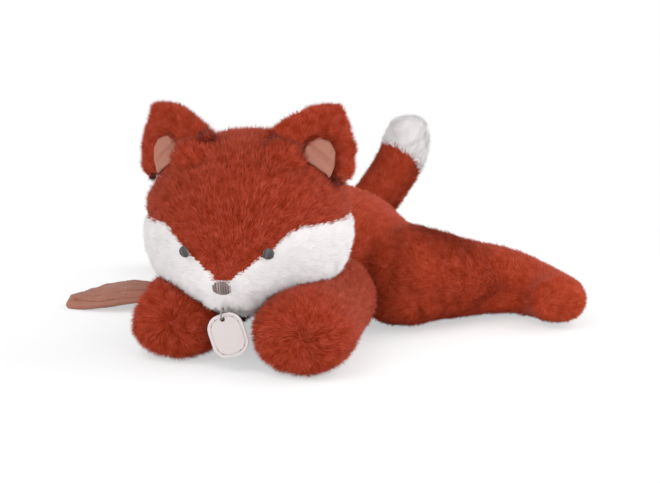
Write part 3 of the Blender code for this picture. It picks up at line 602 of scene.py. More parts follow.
def group(name, sockets):
    """A new Geometry Nodes tree with a geometry socket and named inputs."""
    tree = bpy.data.node_groups.new(name, "GeometryNodeTree")
    tree.interface.new_socket("Geometry", in_out="INPUT", socket_type="NodeSocketGeometry")
    for label, kind in sockets.items():
        tree.interface.new_socket(label, in_out="INPUT", socket_type="NodeSocket" + kind)
    tree.interface.new_socket("Geometry", in_out="OUTPUT", socket_type="NodeSocketGeometry")
    return tree, add(tree, "NodeGroupInput")


def close(tree, geometry, material):
    """End a tree in plain geometry with its material."""
    real = add(tree, "GeometryNodeRealizeInstances", None, {"Geometry": geometry})
    ended = add(tree, "GeometryNodeSetMaterial", None, {"Geometry": real, "Material": material})
    add(tree, "NodeGroupOutput", None, {"Geometry": ended})
    return tree


def stored(tree, geometry, name, value, kind="FLOAT_VECTOR", domain="POINT"):
    """A geometry that carries a value under a name."""
    return add(
        tree, "GeometryNodeStoreNamedAttribute", {"data_type": kind, "domain": domain},
        {"Geometry": geometry, "Name": name, "Value": value},
    )


def pile_tree():
    """Scatters strands over a skin, combed along its comb attribute and drawn into locks."""
    if "Pile" in bpy.data.node_groups:
        return bpy.data.node_groups["Pile"]
    tree, given = group(
        "Pile",
        {
            "Strand": "Object", "Density": "Float", "Length": "Float", "Width": "Float", "Lie": "Float",
            "Tousle": "Float", "Lock size": "Float", "Seed": "Int", "Material": "Material",
        },
    )
    seed = given["Seed"]
    density = given["Density"] * trait(tree, "cover")
    scatter = add(
        tree, "GeometryNodeDistributePointsOnFaces", {"distribute_method": "RANDOM"},
        {"Mesh": given["Geometry"], "Density": density, "Seed": seed},
    )
    outward = scatter["Normal"]
    points = stored(tree, scatter, "skin_way", outward)
    place = add(tree, "GeometryNodeInputPosition")
    locks = add(
        tree, "ShaderNodeTexNoise", None,
        {"Vector": place, "Scale": given["Lock size"], "Detail": 1.5}, "Color",
    )
    half = (0.5, 0.5, 0.5)
    stray = chance(tree, tuple(-part for part in half), half, seed, "FLOAT_VECTOR")
    drawn = vector(tree, "SCALE", vector(tree, "SUBTRACT", locks, half), scale=given["Tousle"])
    lain = vector(tree, "SCALE", trait(tree, "comb", "FLOAT_VECTOR"), scale=given["Lie"])
    raised = vector(tree, "SCALE", outward, scale=1.0 - given["Lie"])
    loose = vector(tree, "SCALE", stray, scale=0.5)
    combed = vector(tree, "ADD", raised, lain)
    tousled = vector(tree, "ADD", drawn, loose)
    way = vector(tree, "NORMALIZE", vector(tree, "ADD", combed, tousled))
    points = stored(tree, points, "way", way)
    stood = add(tree, "FunctionNodeAlignRotationToVector", {"axis": "Z"}, {"Vector": way})
    faced = add(
        tree, "FunctionNodeAlignRotationToVector", {"axis": "X", "pivot_axis": "Z"},
        {"Rotation": stood, "Vector": outward},
    )
    long = given["Length"] * chance(tree, 0.68, 1.12, seed + 7) * trait(tree, "pile")
    shape = add(tree, "GeometryNodeObjectInfo", None, {"Object": given["Strand"]}, "Geometry")
    grown = add(
        tree, "GeometryNodeInstanceOnPoints", None,
        {
            "Points": points, "Instance": shape, "Rotation": faced,
            "Scale": combined(tree, long, given["Width"], long),
        },
    )
    marked = stored(tree, grown, "tone", chance(tree, 0.0, 1.0, seed + 3), "FLOAT", "INSTANCE")
    return close(tree, marked, given["Material"])


def applied(piece, name, tree, inputs):
    """Run a tree on a piece and keep the result as a plain mesh."""
    modifier = piece.modifiers.new(tree.name, "NODES")
    modifier.node_group = tree
    for item in tree.interface.items_tree:
        if item.in_out == "INPUT" and item.name in inputs:
            modifier[item.identifier] = inputs[item.name]
    piece.update_tag()
    bpy.context.view_layer.update()
    return settled(piece, name)


def attribute(mesh, name, values, kind="FLOAT"):
    """Store a value for each vertex under a name."""
    made = mesh.attributes.new(name, kind, "POINT")
    values = np.asarray(values, np.float32)
    made.data.foreach_set("vector" if kind == "FLOAT_VECTOR" else "value", values.ravel())


def tangent(ways, normals):
    """Directions laid into the surface and made a unit long."""
    ways = ways - normals * (ways * normals).sum(1)[:, None]
    return ways / np.maximum(np.linalg.norm(ways, axis=1), 1e-6)[:, None]


def walked(start, first, second, spans, count):
    """How far each vertex lies from a start along the edges."""
    beside = [[] for _ in range(count)]
    for a, b, span in zip(first.tolist(), second.tolist(), spans.tolist()):
        beside[a].append((b, span))
        beside[b].append((a, span))
    away = [math.inf] * count
    away[start] = 0.0
    queue = [(0.0, start)]
    while queue:
        far, here = heapq.heappop(queue)
        if far > away[here]:
            continue
        for there, span in beside[here]:
            if far + span < away[there]:
                away[there] = far + span
                heapq.heappush(queue, (far + span, there))
    return np.array(away)


def spread_from(mesh, seed):
    """Which way leads from a place over a surface, at each vertex."""
    places, normals = points_of(mesh)
    ends = np.empty(len(mesh.edges) * 2, np.int32)
    mesh.edges.foreach_get("vertices", ends)
    first, second = ends.reshape(-1, 2).T
    steps = places[second] - places[first]
    spans = np.linalg.norm(steps, axis=1)
    joined = np.bincount(ends, minlength=len(places))

    def eased(values, joined, rounds):
        for _ in range(rounds):
            total = values * joined
            np.add.at(total, first, values[second])
            np.add.at(total, second, values[first])
            values = total / (2 * joined)
        return values

    start = int(np.argmin(np.linalg.norm(places - seed, axis=1)))
    away = eased(walked(start, first, second, spans, len(places)), joined, 15)
    slopes = steps * ((away[second] - away[first]) / spans**2)[:, None]
    ways = np.zeros_like(places)
    np.add.at(ways, first, slopes)
    np.add.at(ways, second, slopes)
    return tangent(eased(tangent(ways, normals), joined[:, None], 12), normals)


def groove(mesh, path, deep, wide):
    """Press a soft crease along a path into a mesh; returns how much of it each vertex feels."""
    places, normals = points_of(mesh)
    felt = np.zeros(len(places))
    for start, end in zip(path[:-1], path[1:]):
        start, span = np.array(start) * MM, (np.array(end) - np.array(start)) * MM
        share = np.clip((places - start) @ span / (span @ span), 0, 1)
        apart = np.linalg.norm(places - start - share[:, None] * span, axis=1)
        felt = np.maximum(felt, falloff(apart, wide))
    put_points(mesh, places - normals * (felt * deep)[:, None])
    return felt


def patch_of(skin, name, keep, capped=False):
    """The part of a skin whose vertices are kept, as its own mesh, closed again if it is capped."""
    bm = bmesh.new()
    bm.from_mesh(skin.data)
    bm.verts.ensure_lookup_table()
    for face in list(bm.faces):
        if sum(keep[vert.index] for vert in face.verts) * 2 < len(face.verts):
            bm.faces.remove(face)
    bmesh.ops.delete(bm, geom=[vert for vert in bm.verts if not vert.link_faces], context="VERTS")
    if capped:
        bmesh.ops.holes_fill(bm, edges=[edge for edge in bm.edges if edge.is_boundary])
        bmesh.ops.triangulate(bm, faces=[face for face in bm.faces if len(face.verts) > 4])
    return plain_object(name, bm)


def move(piece, body, bend=None):
    """Let a piece follow its body; given a bend, the piece is only baked in place and follows no body."""
    if bend is None:
        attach(piece, body)
    else:
        bend[0]
        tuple(bend[1])
        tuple(bend[2])
        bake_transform(piece)


def pile_on(skin, name, body, pile, length, keep=None, bend=None):
    """Grow pile from a skin that has comb, pile and cover attributes."""
    source = patch_of(skin, name + "_base", keep if keep is not None else np.ones(len(skin.data.vertices)))
    area = sum(face.area for face in source.data.polygons)
    cover = np.empty(len(source.data.vertices), np.float32)
    source.data.attributes["cover"].data.foreach_get("value", cover)
    shape = strand()
    grown = applied(
        source, name, pile_tree(),
        {
            "Strand": shape, "Density": pile.strands / area / max(float(cover.mean()), 0.05),
            "Length": length, "Width": settings().strand_width * pile.width, "Lie": pile.lie,
            "Tousle": pile.tousle, "Lock size": pile.lock_size, "Seed": pile.seed,
            "Material": finishes()[pile.finish],
        },
    )
    bpy.data.objects.remove(shape)
    slot = "white_plush" if pile.finish == "white pile" else "red_plush"
    soften(grown.data, LIGHT_LIFT[slot])
    move(grown, body, bend)


def soften(mesh, lift):
    """Shade strands mostly as their skin, turned up a little for the light that pile scatters."""
    count = len(mesh.vertices)
    outward, way = np.empty(count * 3, np.float32), np.empty(count * 3, np.float32)
    mesh.attributes["skin_way"].data.foreach_get("vector", outward)
    mesh.attributes["way"].data.foreach_get("vector", way)
    shading = outward.reshape(-1, 3) * SKIN_SHARE + way.reshape(-1, 3) * STRAND_SHARE + (0, 0, lift)
    shading /= np.maximum(np.linalg.norm(shading, axis=1), 1e-6)[:, None]
    for name in ("skin_way", "way"):
        mesh.attributes.remove(mesh.attributes[name])
    mesh.shade_smooth()
    mesh.normals_split_custom_set_from_vertices(shading)


def dress(skin, combing, pile=None, cover=None):
    """Store how the pile lies, how long it is and where it grows."""
    count = len(skin.data.vertices)
    attribute(skin.data, "comb", combing, "FLOAT_VECTOR")
    attribute(skin.data, "pile", np.ones(count) if pile is None else pile)
    attribute(skin.data, "cover", np.ones(count) if cover is None else cover)


def back_skin(skin, body, *nodes, bend=None):
    """Keep a skin under its pile, in place of CAD nodes."""
    skin.data.materials.clear()
    skin.data.materials.append(finishes()["red backing"])
    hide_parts(*nodes)
    move(skin, body, bend)


def cloth_piece(piece, body, *nodes, fill=None):
    """Finish a piece of lining cloth that stands for CAD nodes."""
    piece.data.materials.append(finishes()["embossed lining"])
    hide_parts(*nodes)
    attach(piece, body)


def pivot(body):
    """Where the joint that carries a body stands, and its axis."""
    joint = next(joint for joint in frame["joints"] if joint["child"] == body)
    return np.array(joint["pos_m"]), np.array(joint["axis"])


def centre_of(node):
    """The middle of a CAD node."""
    low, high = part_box(node)
    return (Vector(low) + Vector(high)) / 2


def distance_from(node, places):
    """How far each place lies from the middle of a CAD node."""
    return np.linalg.norm(places - np.array(centre_of(node)), axis=1)


def ground_cover(places, normals):
    """Little pile where a form lies on the floor."""
    lain_on = (places[:, 2] < FLOOR_NEAR) & (normals[:, 2] < TURNED_DOWN)
    return np.where(lain_on, LAIN_ON_COVER, 1.0)


class FOX_OT_body(bpy.types.Operator):
    """Body and hind legs in one stuffed skin, parted where the legs swing"""

    bl_idname = "fox.body"
    bl_label = "Body and hind legs"

    def execute(self, context):
        hips = {word: (pivot("leg_" + word)[0], side) for word, side in (("left", 1), ("right", -1))}
        pads = []
        for hip, side in hips.values():
            for inward, back, down, sizes in HIP_PADS:
                pads.append((hip + np.array((-inward * side, back, -down)) * MM, sizes, (1, 0, 0)))
        nodes = ["torso_stuffing", "leg_left_stuffing", "leg_right_stuffing"]
        skin = skin_from(nodes, "body_whole", BODY_SKIN, pads)
        creases = groove(skin.data, *THIGH_CREASE)
        groove(skin.data, *HEEL_HOLLOW)
        groove(skin.data, *THIGH_FOLD)
        places, normals = points_of(skin.data)
        flow = tangent(np.zeros_like(places) + BODY_WAY, normals)
        pile = 1 - CREASE_THINNING * creases
        legs = {}
        for word, (hip, side) in hips.items():
            start, end = hip - (HIP_BEND_IN * side, 0, 0), hip + (HIP_BEND_OUT * side, 0, 0)
            out = (places[:, 0] - start[0]) * side
            legs[word] = (out > 0, ("torso", tuple(start), tuple(end)))
            share = np.clip(out / (HIP_BEND_IN + HIP_BEND_OUT), 0, 1)[:, None]
            from_foot = spread_from(skin.data, hip + np.array(FOOT_MIDDLE) * (side, 1, 1) * MM)
            flow = flow * (1 - share) + from_foot * share
            notch = (places - hip)[:, :2] - np.array(NOTCH_MIDDLE) * (side, 1) * MM
            pile += NOTCH_PILE * falloff(np.linalg.norm(notch, axis=1), NOTCH_REACH)
        dress(skin, tangent(flow, normals), pile, ground_cover(places, normals))
        middle = ~legs["left"][0] & ~legs["right"][0]
        length = settings().body_length
        pile_on(skin, "body_pile", "torso", BODY_PILE, length, middle)
        back = patch_of(skin, "body_backing", middle, True)
        back_skin(back, "torso", "torso_back_panel", "torso_belly_panel", "torso_stuffing")
        for word, (keep, bend) in legs.items():
            body = "leg_" + word
            coat = LEG_PILE._replace(strands=LEG_STRANDS[word])
            pile_on(skin, body + "_pile", body, coat, length, keep, bend)
            back = patch_of(skin, body + "_backing", keep, True)
            back_skin(back, body, body + "_cover", body + "_stuffing", bend=bend)
        bpy.data.objects.remove(skin)
        return {"FINISHED"}


def lean_in(mesh, root):
    """Slope the outer side of the right foreleg in towards its top."""
    places, _ = points_of(mesh)
    outer = np.clip((root[0] - LEAN_START - places[:, 0]) / LEAN_SPAN, 0, 1)
    places[:, 0] += LEAN * outer * np.maximum(places[:, 2] - LEAN_FOOT, 0)
    put_points(mesh, places)


class FOX_OT_forelegs(bpy.types.Operator):
    """Forelegs, with pile that swirls out from the middle of each paw"""

    bl_idname = "fox.forelegs"
    bl_label = "Forelegs"

    def execute(self, context):
        for word in ("left", "right"):
            body = "arm_" + word
            root, _ = pivot(body)
            pads = [(root, SHOULDER_PAD, (1, 0, 0))]
            skin = skin_from([body + "_stuffing"], body + "_backing", ARM_SKIN, pads)
            if word == "right":
                lean_in(skin.data, root)
            places, normals = points_of(skin.data)
            apart = np.linalg.norm((places - root)[:, :2], axis=1)
            tip = places[apart > apart.max() - PAW_SPAN].mean(0)
            tip[2] = places[:, 2].max() * 0.5
            from_tip = places - tip
            flow = tangent(from_tip + np.cross(normals, from_tip) * PAW_SWIRL, normals)
            pile = 1.0 + PAW_PILE * falloff(np.linalg.norm(from_tip, axis=1), PAW_REACH)
            dress(skin, flow, pile, ground_cover(places, normals))
            pile_on(skin, body + "_pile", body, ARM_PILE, settings().arm_length)
            back_skin(skin, body, body + "_cover", body + "_stuffing")
        return {"FINISHED"}


def paint_white(skin, white):
    """White backing under the white pile."""
    skin.data.materials.append(finishes()["white backing"])
    for face in skin.data.polygons:
        if sum(white[v] for v in face.vertices) * 2 >= len(face.vertices):
            face.material_index = 1


class FOX_OT_tail(bpy.types.Operator):
    """Raised tail, red below and white at its tip"""

    bl_idname = "fox.tail"
    bl_label = "Tail"

    def execute(self, context):
        root, _ = pivot("tail")
        pads = [(root + (0, 0, TAIL_PAD_RISE), TAIL_PAD, (1, 0, 0))]
        skin = skin_from(["tail_stuffing"], "tail_backing", TAIL_SKIN, pads)
        places, normals = points_of(skin.data)
        white = reach_to("tail_tip", places) + TIP_START < reach_to("tail_sleeve", places)
        upward = np.array((0, 0, 1.0))
        dress(skin, upward - normals * normals[:, 2:], np.where(white, TIP_PILE, 1.0))
        length = settings().tail_length
        pile_on(skin, "tail_red_pile", "tail", TAIL_RED_PILE, length, ~white)
        pile_on(skin, "tail_white_pile", "tail", TAIL_WHITE_PILE, length, white)
        back_skin(skin, "tail", "tail_sleeve", "tail_tip", "tail_stuffing")
        paint_white(skin, white)
        return {"FINISHED"}


class FOX_OT_head(bpy.types.Operator):
    """Head with a long red crown and white cheeks that meet at the nose"""

    bl_idname = "fox.head"
    bl_label = "Head"

    def execute(self, context):
        s = settings()
        skin = skin_from(["head_stuffing"], "head_backing", HEAD_SKIN, self.mounds())
        places, normals = points_of(skin.data)
        nose = np.array(centre_of("nose"))
        reaches = [reach_to(node, places) for node in HEAD_PANELS]
        cheeks = np.minimum(reaches[1], reaches[2])
        moved = self.border_move(places, nose)
        crown = self.crown_share(places, nose, reaches[0] <= cheeks + moved)
        left = ~crown & (reaches[1] < reaches[2])
        right = ~crown & ~left
        pile = self.pile_lengths(places, nose, reaches[0] - cheeks - moved, np.abs(reaches[1] - reaches[2]))
        dress(skin, tangent(places - nose, normals), pile)
        pile_on(skin, "crown_pile", "head", CROWN_PILE, s.crown_length, crown)
        pile_on(skin, "cheek_left_pile", "head", CHEEK_LEFT_PILE, s.cheek_length, left)
        pile_on(skin, "cheek_right_pile", "head", CHEEK_RIGHT_PILE, s.cheek_length, right)
        back_skin(skin, "head", *HEAD_PANELS, "head_stuffing")
        paint_white(skin, ~crown)
        return {"FINISHED"}

    def mounds(self):
        """Pads that fill the crease under each ear."""
        pads = []
        for base, along in (pivot("ear_left"), pivot("ear_right")):
            towards = along * math.copysign(1, along @ (pivot("head")[0] - base))
            pads.append((base + towards * MOUND_INWARD + MOUND_PLACE, MOUND, along))
        return pads

    def border_move(self, places, nose):
        """How far the border of crown and cheeks moves down at each place."""
        hinge = pivot("head")[0]
        ahead = (nose - hinge)[:2]
        forward = (places - hinge)[:, :2] @ (ahead / np.linalg.norm(ahead))
        apart = np.linalg.norm(places - nose, axis=1)
        front = np.clip(apart / BORDER_REACH, 0, 1) * BORDER_MOVE + BORDER_START
        behind = (forward < REAR_AHEAD) & (places[:, 2] < nose[2] + REAR_RISE)
        return np.where(behind, REAR_MOVE, front)

    def crown_share(self, places, nose, crown):
        """Which places wear the crown: it ends in a point above the nose."""
        ahead = nose - pivot("head")[0]
        aside = (places - nose) @ np.cross((0, 0, 1), ahead / np.linalg.norm(ahead[:2])) / MM
        rise = (places - nose)[:, 2] / MM
        right, left = (start + slope * (rise - height) for start, slope, height in (POINT_RIGHT, POINT_LEFT))
        point = (rise > POINT_FOOT) & (aside > right) & (aside < left)
        return np.where(np.linalg.norm(places - nose, axis=1) < POINT_REACH, point, crown)

    def pile_lengths(self, places, nose, from_border, from_seam):
        """Pile that is short by the nose, eyes, chin's seam and border, and longer by the tag's loop."""
        apart = np.linalg.norm(places - nose, axis=1)
        pile = np.clip(NOSE_PILE + apart / PILE_GROWTH, 0, LONGEST_PILE)
        for eye in ("eye_left", "eye_right"):
            pile *= 1 - EYE_THINNING * falloff(distance_from(eye, places), EYE_REACH)
        below = (places - nose)[:, 2] < -SEAM_DROP
        pile *= 1 - SEAM_THINNING * falloff(from_seam, SEAM_REACH) * below
        pile *= 1 - BORDER_THINNING * falloff(from_border, BORDER_WIDTH)
        return pile * (1 + LOOP_PILE * falloff(distance_from("tag_loop", places), LOOP_REACH))


def hollow(mesh, ear):
    """Press a lining back into its ear, deepest in a fold down its middle."""
    places, _ = points_of(mesh)
    middle = places.mean(0)
    ways = np.linalg.svd(places - middle, full_matrices=False)[2]
    inward = ways[2] * (1 if (ear.mean(0) - middle) @ ways[2] > 0 else -1)
    flat = (places - middle) @ ways.T
    span = np.abs(flat).max(0)
    bowl = np.clip(1 - (flat[:, 0] / span[0]) ** 2 - (flat[:, 1] / span[1]) ** 2, 0, 1)
    fold = falloff(flat[:, 1] - FOLD_SLANT * flat[:, 0], FOLD_WIDTH)
    put_points(mesh, places + inward * (bowl * (BOWL_DEPTH + FOLD_DEPTH * fold) * MM)[:, None])


class FOX_OT_ears(bpy.types.Operator):
    """Thick ears with a shaggy rim round an embossed lining"""

    bl_idname = "fox.ears"
    bl_label = "Ears"

    def execute(self, context):
        for number, word in enumerate(("left", "right")):
            body, lining = "ear_" + word, "ear_" + word + "_lining"
            base, along = pivot(body)
            pads = [(base + (0, 0, -EAR_PAD_DROP), EAR_PAD, along)]
            skin = skin_from([body + "_plush"], body + "_backing", EAR_SKIN, pads)
            places, normals = points_of(skin.data)
            root = base + (np.array(centre_of("nose")) - base) * EAR_COMB_SHARE
            apart = reach_to(lining, places)
            hang = falloff(apart, LINING_REACH)[:, None] * LINING_HANG
            inward = tangent(np.array(centre_of(lining)) - places, normals)
            flow = tangent(places - root, normals) * (1 - hang) + inward * hang
            pile = np.clip(reach_to("crown_panel", places) / EAR_ROOT_REACH, EAR_ROOT_PILE, 1)
            dress(skin, flow, pile, np.where(apart < LINING_BARE, 0.0, 1.0))
            coat = EAR_PILE._replace(seed=EAR_PILE.seed + number)
            pile_on(skin, body + "_pile", body, coat, settings().ear_length)
            back_skin(skin, body, body + "_plush")
            pad = skin_from([lining], lining + "_pad", LINING_SKIN)
            hollow(pad.data, places)
            cloth_piece(pad, body, lining, fill=0.4)
        return {"FINISHED"}


def satin_tree():
    """Threads laid side by side across an oval, bent over its dome."""
    if "Satin stitch" in bpy.data.node_groups:
        return bpy.data.node_groups["Satin stitch"]
    tree, given = group(
        "Satin stitch",
        {
            "Half width": "Float", "Half height": "Float", "Dome": "Float", "Threads": "Int",
            "Turn": "Float", "Seed": "Int", "Material": "Material",
        },
    )
    wide, tall, dome = given["Half width"], given["Half height"], given["Dome"]
    threads, seed = given["Threads"], given["Seed"]
    gap = wide * 2.0 / threads
    row = add(
        tree, "GeometryNodeMeshLine", {"mode": "OFFSET"},
        {"Count": threads, "Start Location": combined(tree, gap * 0.5 - wide), "Offset": combined(tree, gap)},
    )
    place = add(tree, "GeometryNodeInputPosition")
    parts = add(tree, "ShaderNodeSeparateXYZ", None, {"Vector": place})
    x, y, z = parts["X"], parts["Y"], parts["Z"]
    across, upward = x / wide, z / tall
    round_off = 1.0 - across * across
    chord = round_off.math("MAXIMUM", round_off, 0.02) ** 0.5
    rod = add(
        tree, "GeometryNodeMeshCylinder", {"fill_type": "TRIANGLE_FAN"},
        {"Vertices": 7, "Side Segments": 12, "Radius": 1.0, "Depth": 2.0},
    )
    thick = gap * 0.36
    size = combined(tree, thick, thick, tall * chord * chance(tree, 0.93, 1.05, seed))
    laid = add(tree, "GeometryNodeInstanceOnPoints", None, {"Points": row, "Instance": rod, "Scale": size})
    laid = stored(tree, laid, "tone", chance(tree, 0.25, 1.0, seed + 4), "FLOAT", "INSTANCE")
    # The body under the threads has no tone, so it takes the thread's darkest colour: painted shade seen
    # between and round the threads.
    ball = add(tree, "GeometryNodeMeshUVSphere", None, {"Segments": 24, "Rings": 12, "Radius": 1.0})
    body = combined(tree, wide * 0.97, gap * 0.2, tall * 0.97)
    under = add(tree, "GeometryNodeTransform", None, {"Geometry": ball, "Scale": body})
    both = add(tree, "GeometryNodeJoinGeometry")
    for part in (laid, under):
        tree.links.new(part.socket, both.socket.node.inputs[0])
    real = add(tree, "GeometryNodeRealizeInstances", None, {"Geometry": both})
    inside = 1.0 - (across * across * 0.75 + upward * upward)
    rise = inside.math("MAXIMUM", inside, 0.0) ** 0.5
    lifted = combined(tree, x, y * (0.35 + rise * 0.65) - dome * rise, z)
    bent = add(tree, "GeometryNodeSetPosition", None, {"Geometry": real, "Position": lifted})
    turn = combined(tree, y=given["Turn"])
    turned = add(tree, "GeometryNodeTransform", None, {"Geometry": bent, "Rotation": turn})
    smooth = add(tree, "GeometryNodeSetShadeSmooth", None, {0: turned, "Shade Smooth": True})
    return close(tree, smooth, given["Material"])


class FOX_OT_face(bpy.types.Operator):
    """Satin-stitched eyes and nose"""

    bl_idname = "fox.face"
    bl_label = "Face"

    def execute(self, context):
        head = Vector(pivot("head")[0])
        for node, (wide, tall, dome, turn, finish, slot, out, up) in FACE.items():
            place = centre_of(node) + Vector((0, 0, up * MM))
            facing = (head - place).normalized()
            piece = new_object(node + "_seed", bpy.data.meshes.new(node + "_seed"))
            made = applied(
                piece, node + "_stitching", satin_tree(),
                {
                    "Half width": wide * MM, "Half height": tall * MM, "Dome": dome * MM,
                    "Threads": settings().stitches, "Turn": turn, "Seed": 5, "Material": finishes()[finish],
                },
            )
            seat = Matrix.Translation(place - facing * (out * MM))
            made.data.transform(seat @ facing.to_track_quat("Y", "Z").to_matrix().to_4x4())
            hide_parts(node)
            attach(made, "head")
        return {"FINISHED"}


def stitch_tree():
    """Short thread stitches set along a path."""
    if "Stitches" in bpy.data.node_groups:
        return bpy.data.node_groups["Stitches"]
    tree, given = group(
        "Stitches",
        {
            "Spacing": "Float", "Stitch length": "Float", "Thread radius": "Float",
            "Seed": "Int", "Material": "Material",
        },
    )
    path = add(tree, "GeometryNodeMeshToCurve", None, {"Mesh": given["Geometry"]})
    spaced = {"Curve": path, "Length": given["Spacing"]}
    even = add(tree, "GeometryNodeResampleCurve", {"mode": "LENGTH"}, spaced)
    points = add(tree, "GeometryNodeCurveToPoints", {"mode": "EVALUATED"}, {"Curve": even})
    along = {"Vector": points["Tangent"]}
    aimed = add(tree, "FunctionNodeAlignRotationToVector", {"axis": "Z"}, along)
    bead = add(tree, "GeometryNodeMeshUVSphere", None, {"Segments": 6, "Rings": 4, "Radius": 1.0})
    uneven = chance(tree, 0.85, 1.1, given["Seed"])
    radius = given["Thread radius"]
    size = combined(tree, radius, radius, given["Stitch length"] * uneven * 0.5)
    sewn = add(
        tree, "GeometryNodeInstanceOnPoints", None,
        {"Points": points, "Instance": bead, "Rotation": aimed, "Scale": size},
    )
    return close(tree, sewn, given["Material"])


def leaf_rows(t, u):
    """Rows up the leaf: how far up each lies, and its lowest and highest side."""
    marks = np.linspace(0, t.max(), LEAF_ROWS + 1)
    rows = np.clip(np.digitize(t, marks) - 1, 0, LEAF_ROWS - 1)
    members = [u[rows == row] for row in range(LEAF_ROWS)]
    lowest = np.array([member.min() if len(member) else 0 for member in members])
    highest = np.array([member.max() if len(member) else 0 for member in members])
    return (marks[1:] + marks[:-1]) / 2, lowest, highest


class FOX_OT_leaf(bpy.types.Operator):
    """Quilted cloth leaf with a midrib, puckers and a stitched welt"""

    bl_idname = "fox.leaf"
    bl_label = "Leaf"

    def execute(self, context):
        nodes = ("leaf_top_cloth", "leaf_bottom_cloth", "leaf_wadding")
        leaf = skin_from(nodes, "leaf_quilting", LEAF_SKIN)
        hinge, across = pivot("leaf")
        across = across / np.linalg.norm(across)
        places, normals = points_of(leaf.data)
        along = np.cross(across, (0, 0, 1))
        if ((places - hinge) @ along).mean() < 0:
            along = -along
        t, u = (places - hinge) @ along, (places - hinge) @ across
        rows = leaf_rows(t, u)
        raised = self.quilting(places, t, u, rows, math.copysign(1, across[1]))
        top = np.where(normals[:, 2] > 0.2, 1.0, 0.35)
        fade = np.clip(np.minimum(t, t.max() - t) / LEAF_FADE, 0, 1)
        places += normals * (raised * MM * top * fade)[:, None]
        places[:, 2] = np.maximum(places[:, 2], 0.1 * MM)
        put_points(leaf.data, places)
        cloth_piece(leaf, "leaf", *nodes, fill=0.35)
        self.sew(leaf, rows, hinge, along, across)
        stem = skin_from(["leaf_tab"], "leaf_stem", STEM_SKIN)
        cloth_piece(stem, "torso", "leaf_tab")
        return {"FINISHED"}

    def quilting(self, places, t, u, rows, side):
        """How far each place of the quilting stands up, in millimetres."""
        heights, lowest, highest = rows
        low, high = np.interp(t, heights, lowest), np.interp(t, heights, highest)
        middle, half = (low + high) / 2, np.maximum((high - low) / 2, 1 * MM)
        edge = half - np.abs(u - middle)
        rib = falloff(u - middle + side * RIB_SHARE * half, RIB_WIDTH)
        welt = falloff(edge - WELT_INSET, WELT_WIDTH)
        waves = np.sin(t / MM * 0.8 + np.sin(t / MM * 0.23) * 3) ** 3
        pucker = np.abs(waves * falloff(edge - PUCKER_INSET, PUCKER_WIDTH))
        over = (u - middle) * side / half
        far = np.clip(over + 0.25, 0, 1) + 0.6 * falloff(over + 0.62, 0.2)
        soft = np.array([noise.noise(Vector(place) * 130) for place in places])
        return 0.6 + 3.6 * far - 4.6 * rib - 1.3 * welt - 0.9 * pucker + 1.3 * soft

    def sew(self, leaf, rows, hinge, along, across):
        """A row of stitches round the welt, laid on the quilted top."""
        bm = bmesh.new()
        bm.from_mesh(leaf.data)
        tree = searched(bm)
        heights, lowest, highest = rows
        inner = range(2, LEAF_ROWS - 2)
        ring = []
        for edge, order in ((lowest + WELT_INSET, inner), (highest - WELT_INSET, reversed(inner))):
            for row in order:
                if highest[row] - lowest[row] < 2.2 * WELT_INSET:
                    continue
                place = hinge + along * heights[row] + across * edge[row]
                hit = tree.ray_cast(Vector((place[0], place[1], 0.05)), Vector((0, 0, -1)))[0]
                if hit:
                    ring.append(hit + Vector((0, 0, STITCH_LIFT)))
        mesh = bpy.data.meshes.new("welt_path")
        mesh.from_pydata(ring, [(k, (k + 1) % len(ring)) for k in range(len(ring))], [])
        made = applied(
            new_object("welt_path", mesh), "leaf_stitches", stitch_tree(),
            {
                "Spacing": STITCH_SPACING, "Stitch length": STITCH_LENGTH, "Thread radius": STITCH_RADIUS,
                "Seed": 2, "Material": finishes()["seam thread"],
            },
        )
        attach(made, "leaf")


class FOX_OT_tag(bpy.types.Operator):
    """Blank hang tag on its thread loop"""

    bl_idname = "fox.tag"
    bl_label = "Tag"

    def execute(self, context):
        for node, finish in (("tag_card", "blank card"), ("tag_loop", "loop thread")):
            for place in frame["nodes"][node].material_slots:
                place.material = finishes()[finish]
        self.border()
        return {"FINISHED"}

    def corners(self, flat):
        """Corners of a line that runs at one distance inside the card's edge."""
        rows = []
        for step in range(LINE_STEPS):
            angle = 2 * math.pi * step / LINE_STEPS
            rows.append((angle, (flat @ (math.cos(angle), math.sin(angle))).max() - LINE_INSET))
        corners = []
        for (a, p), (b, q) in zip(rows, rows[1:] + rows[:1]):
            x = p * math.sin(b) - q * math.sin(a)
            y = q * math.cos(a) - p * math.cos(b)
            corners.append((x / math.sin(b - a), y / math.sin(b - a)))
        return corners

    def border(self):
        """A raised line all round both faces of the card, inside its edge."""
        places, _ = points_of(frame["nodes"]["tag_card"].data)
        middle = (places.max(0) + places.min(0)) / 2
        ways = np.linalg.svd(places - middle, full_matrices=False)[2]
        flat = (places - middle) @ ways.T
        thick = np.abs(flat[:, 2]).max()
        profile = ((-LINE_HALF, 0), (0, LINE_RISE), (LINE_HALF, 0), (0, -LINE_ROOT))
        bm = bmesh.new()
        for side in (-1, 1):
            ring = []
            for x, y in self.corners(flat[:, :2]):
                cut = []
                for out, up in profile:
                    grow = 1 + out * MM / math.hypot(x, y)
                    place = np.array((x * grow, y * grow, (thick + up * MM) * side))
                    cut.append(bm.verts.new(middle + place @ ways))
                ring.append(cut)
            for first, second in zip(ring, ring[1:] + ring[:1]):
                for k in range(len(profile)):
                    bm.faces.new((first[k], second[k], second[k - 3], first[k - 3]))
        bmesh.ops.recalc_face_normals(bm, faces=bm.faces)
        line = plain_object("tag_border", bm)
        line.data.shade_smooth()
        line.data.materials.append(finishes()["blank card"])
        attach(line, "tag")


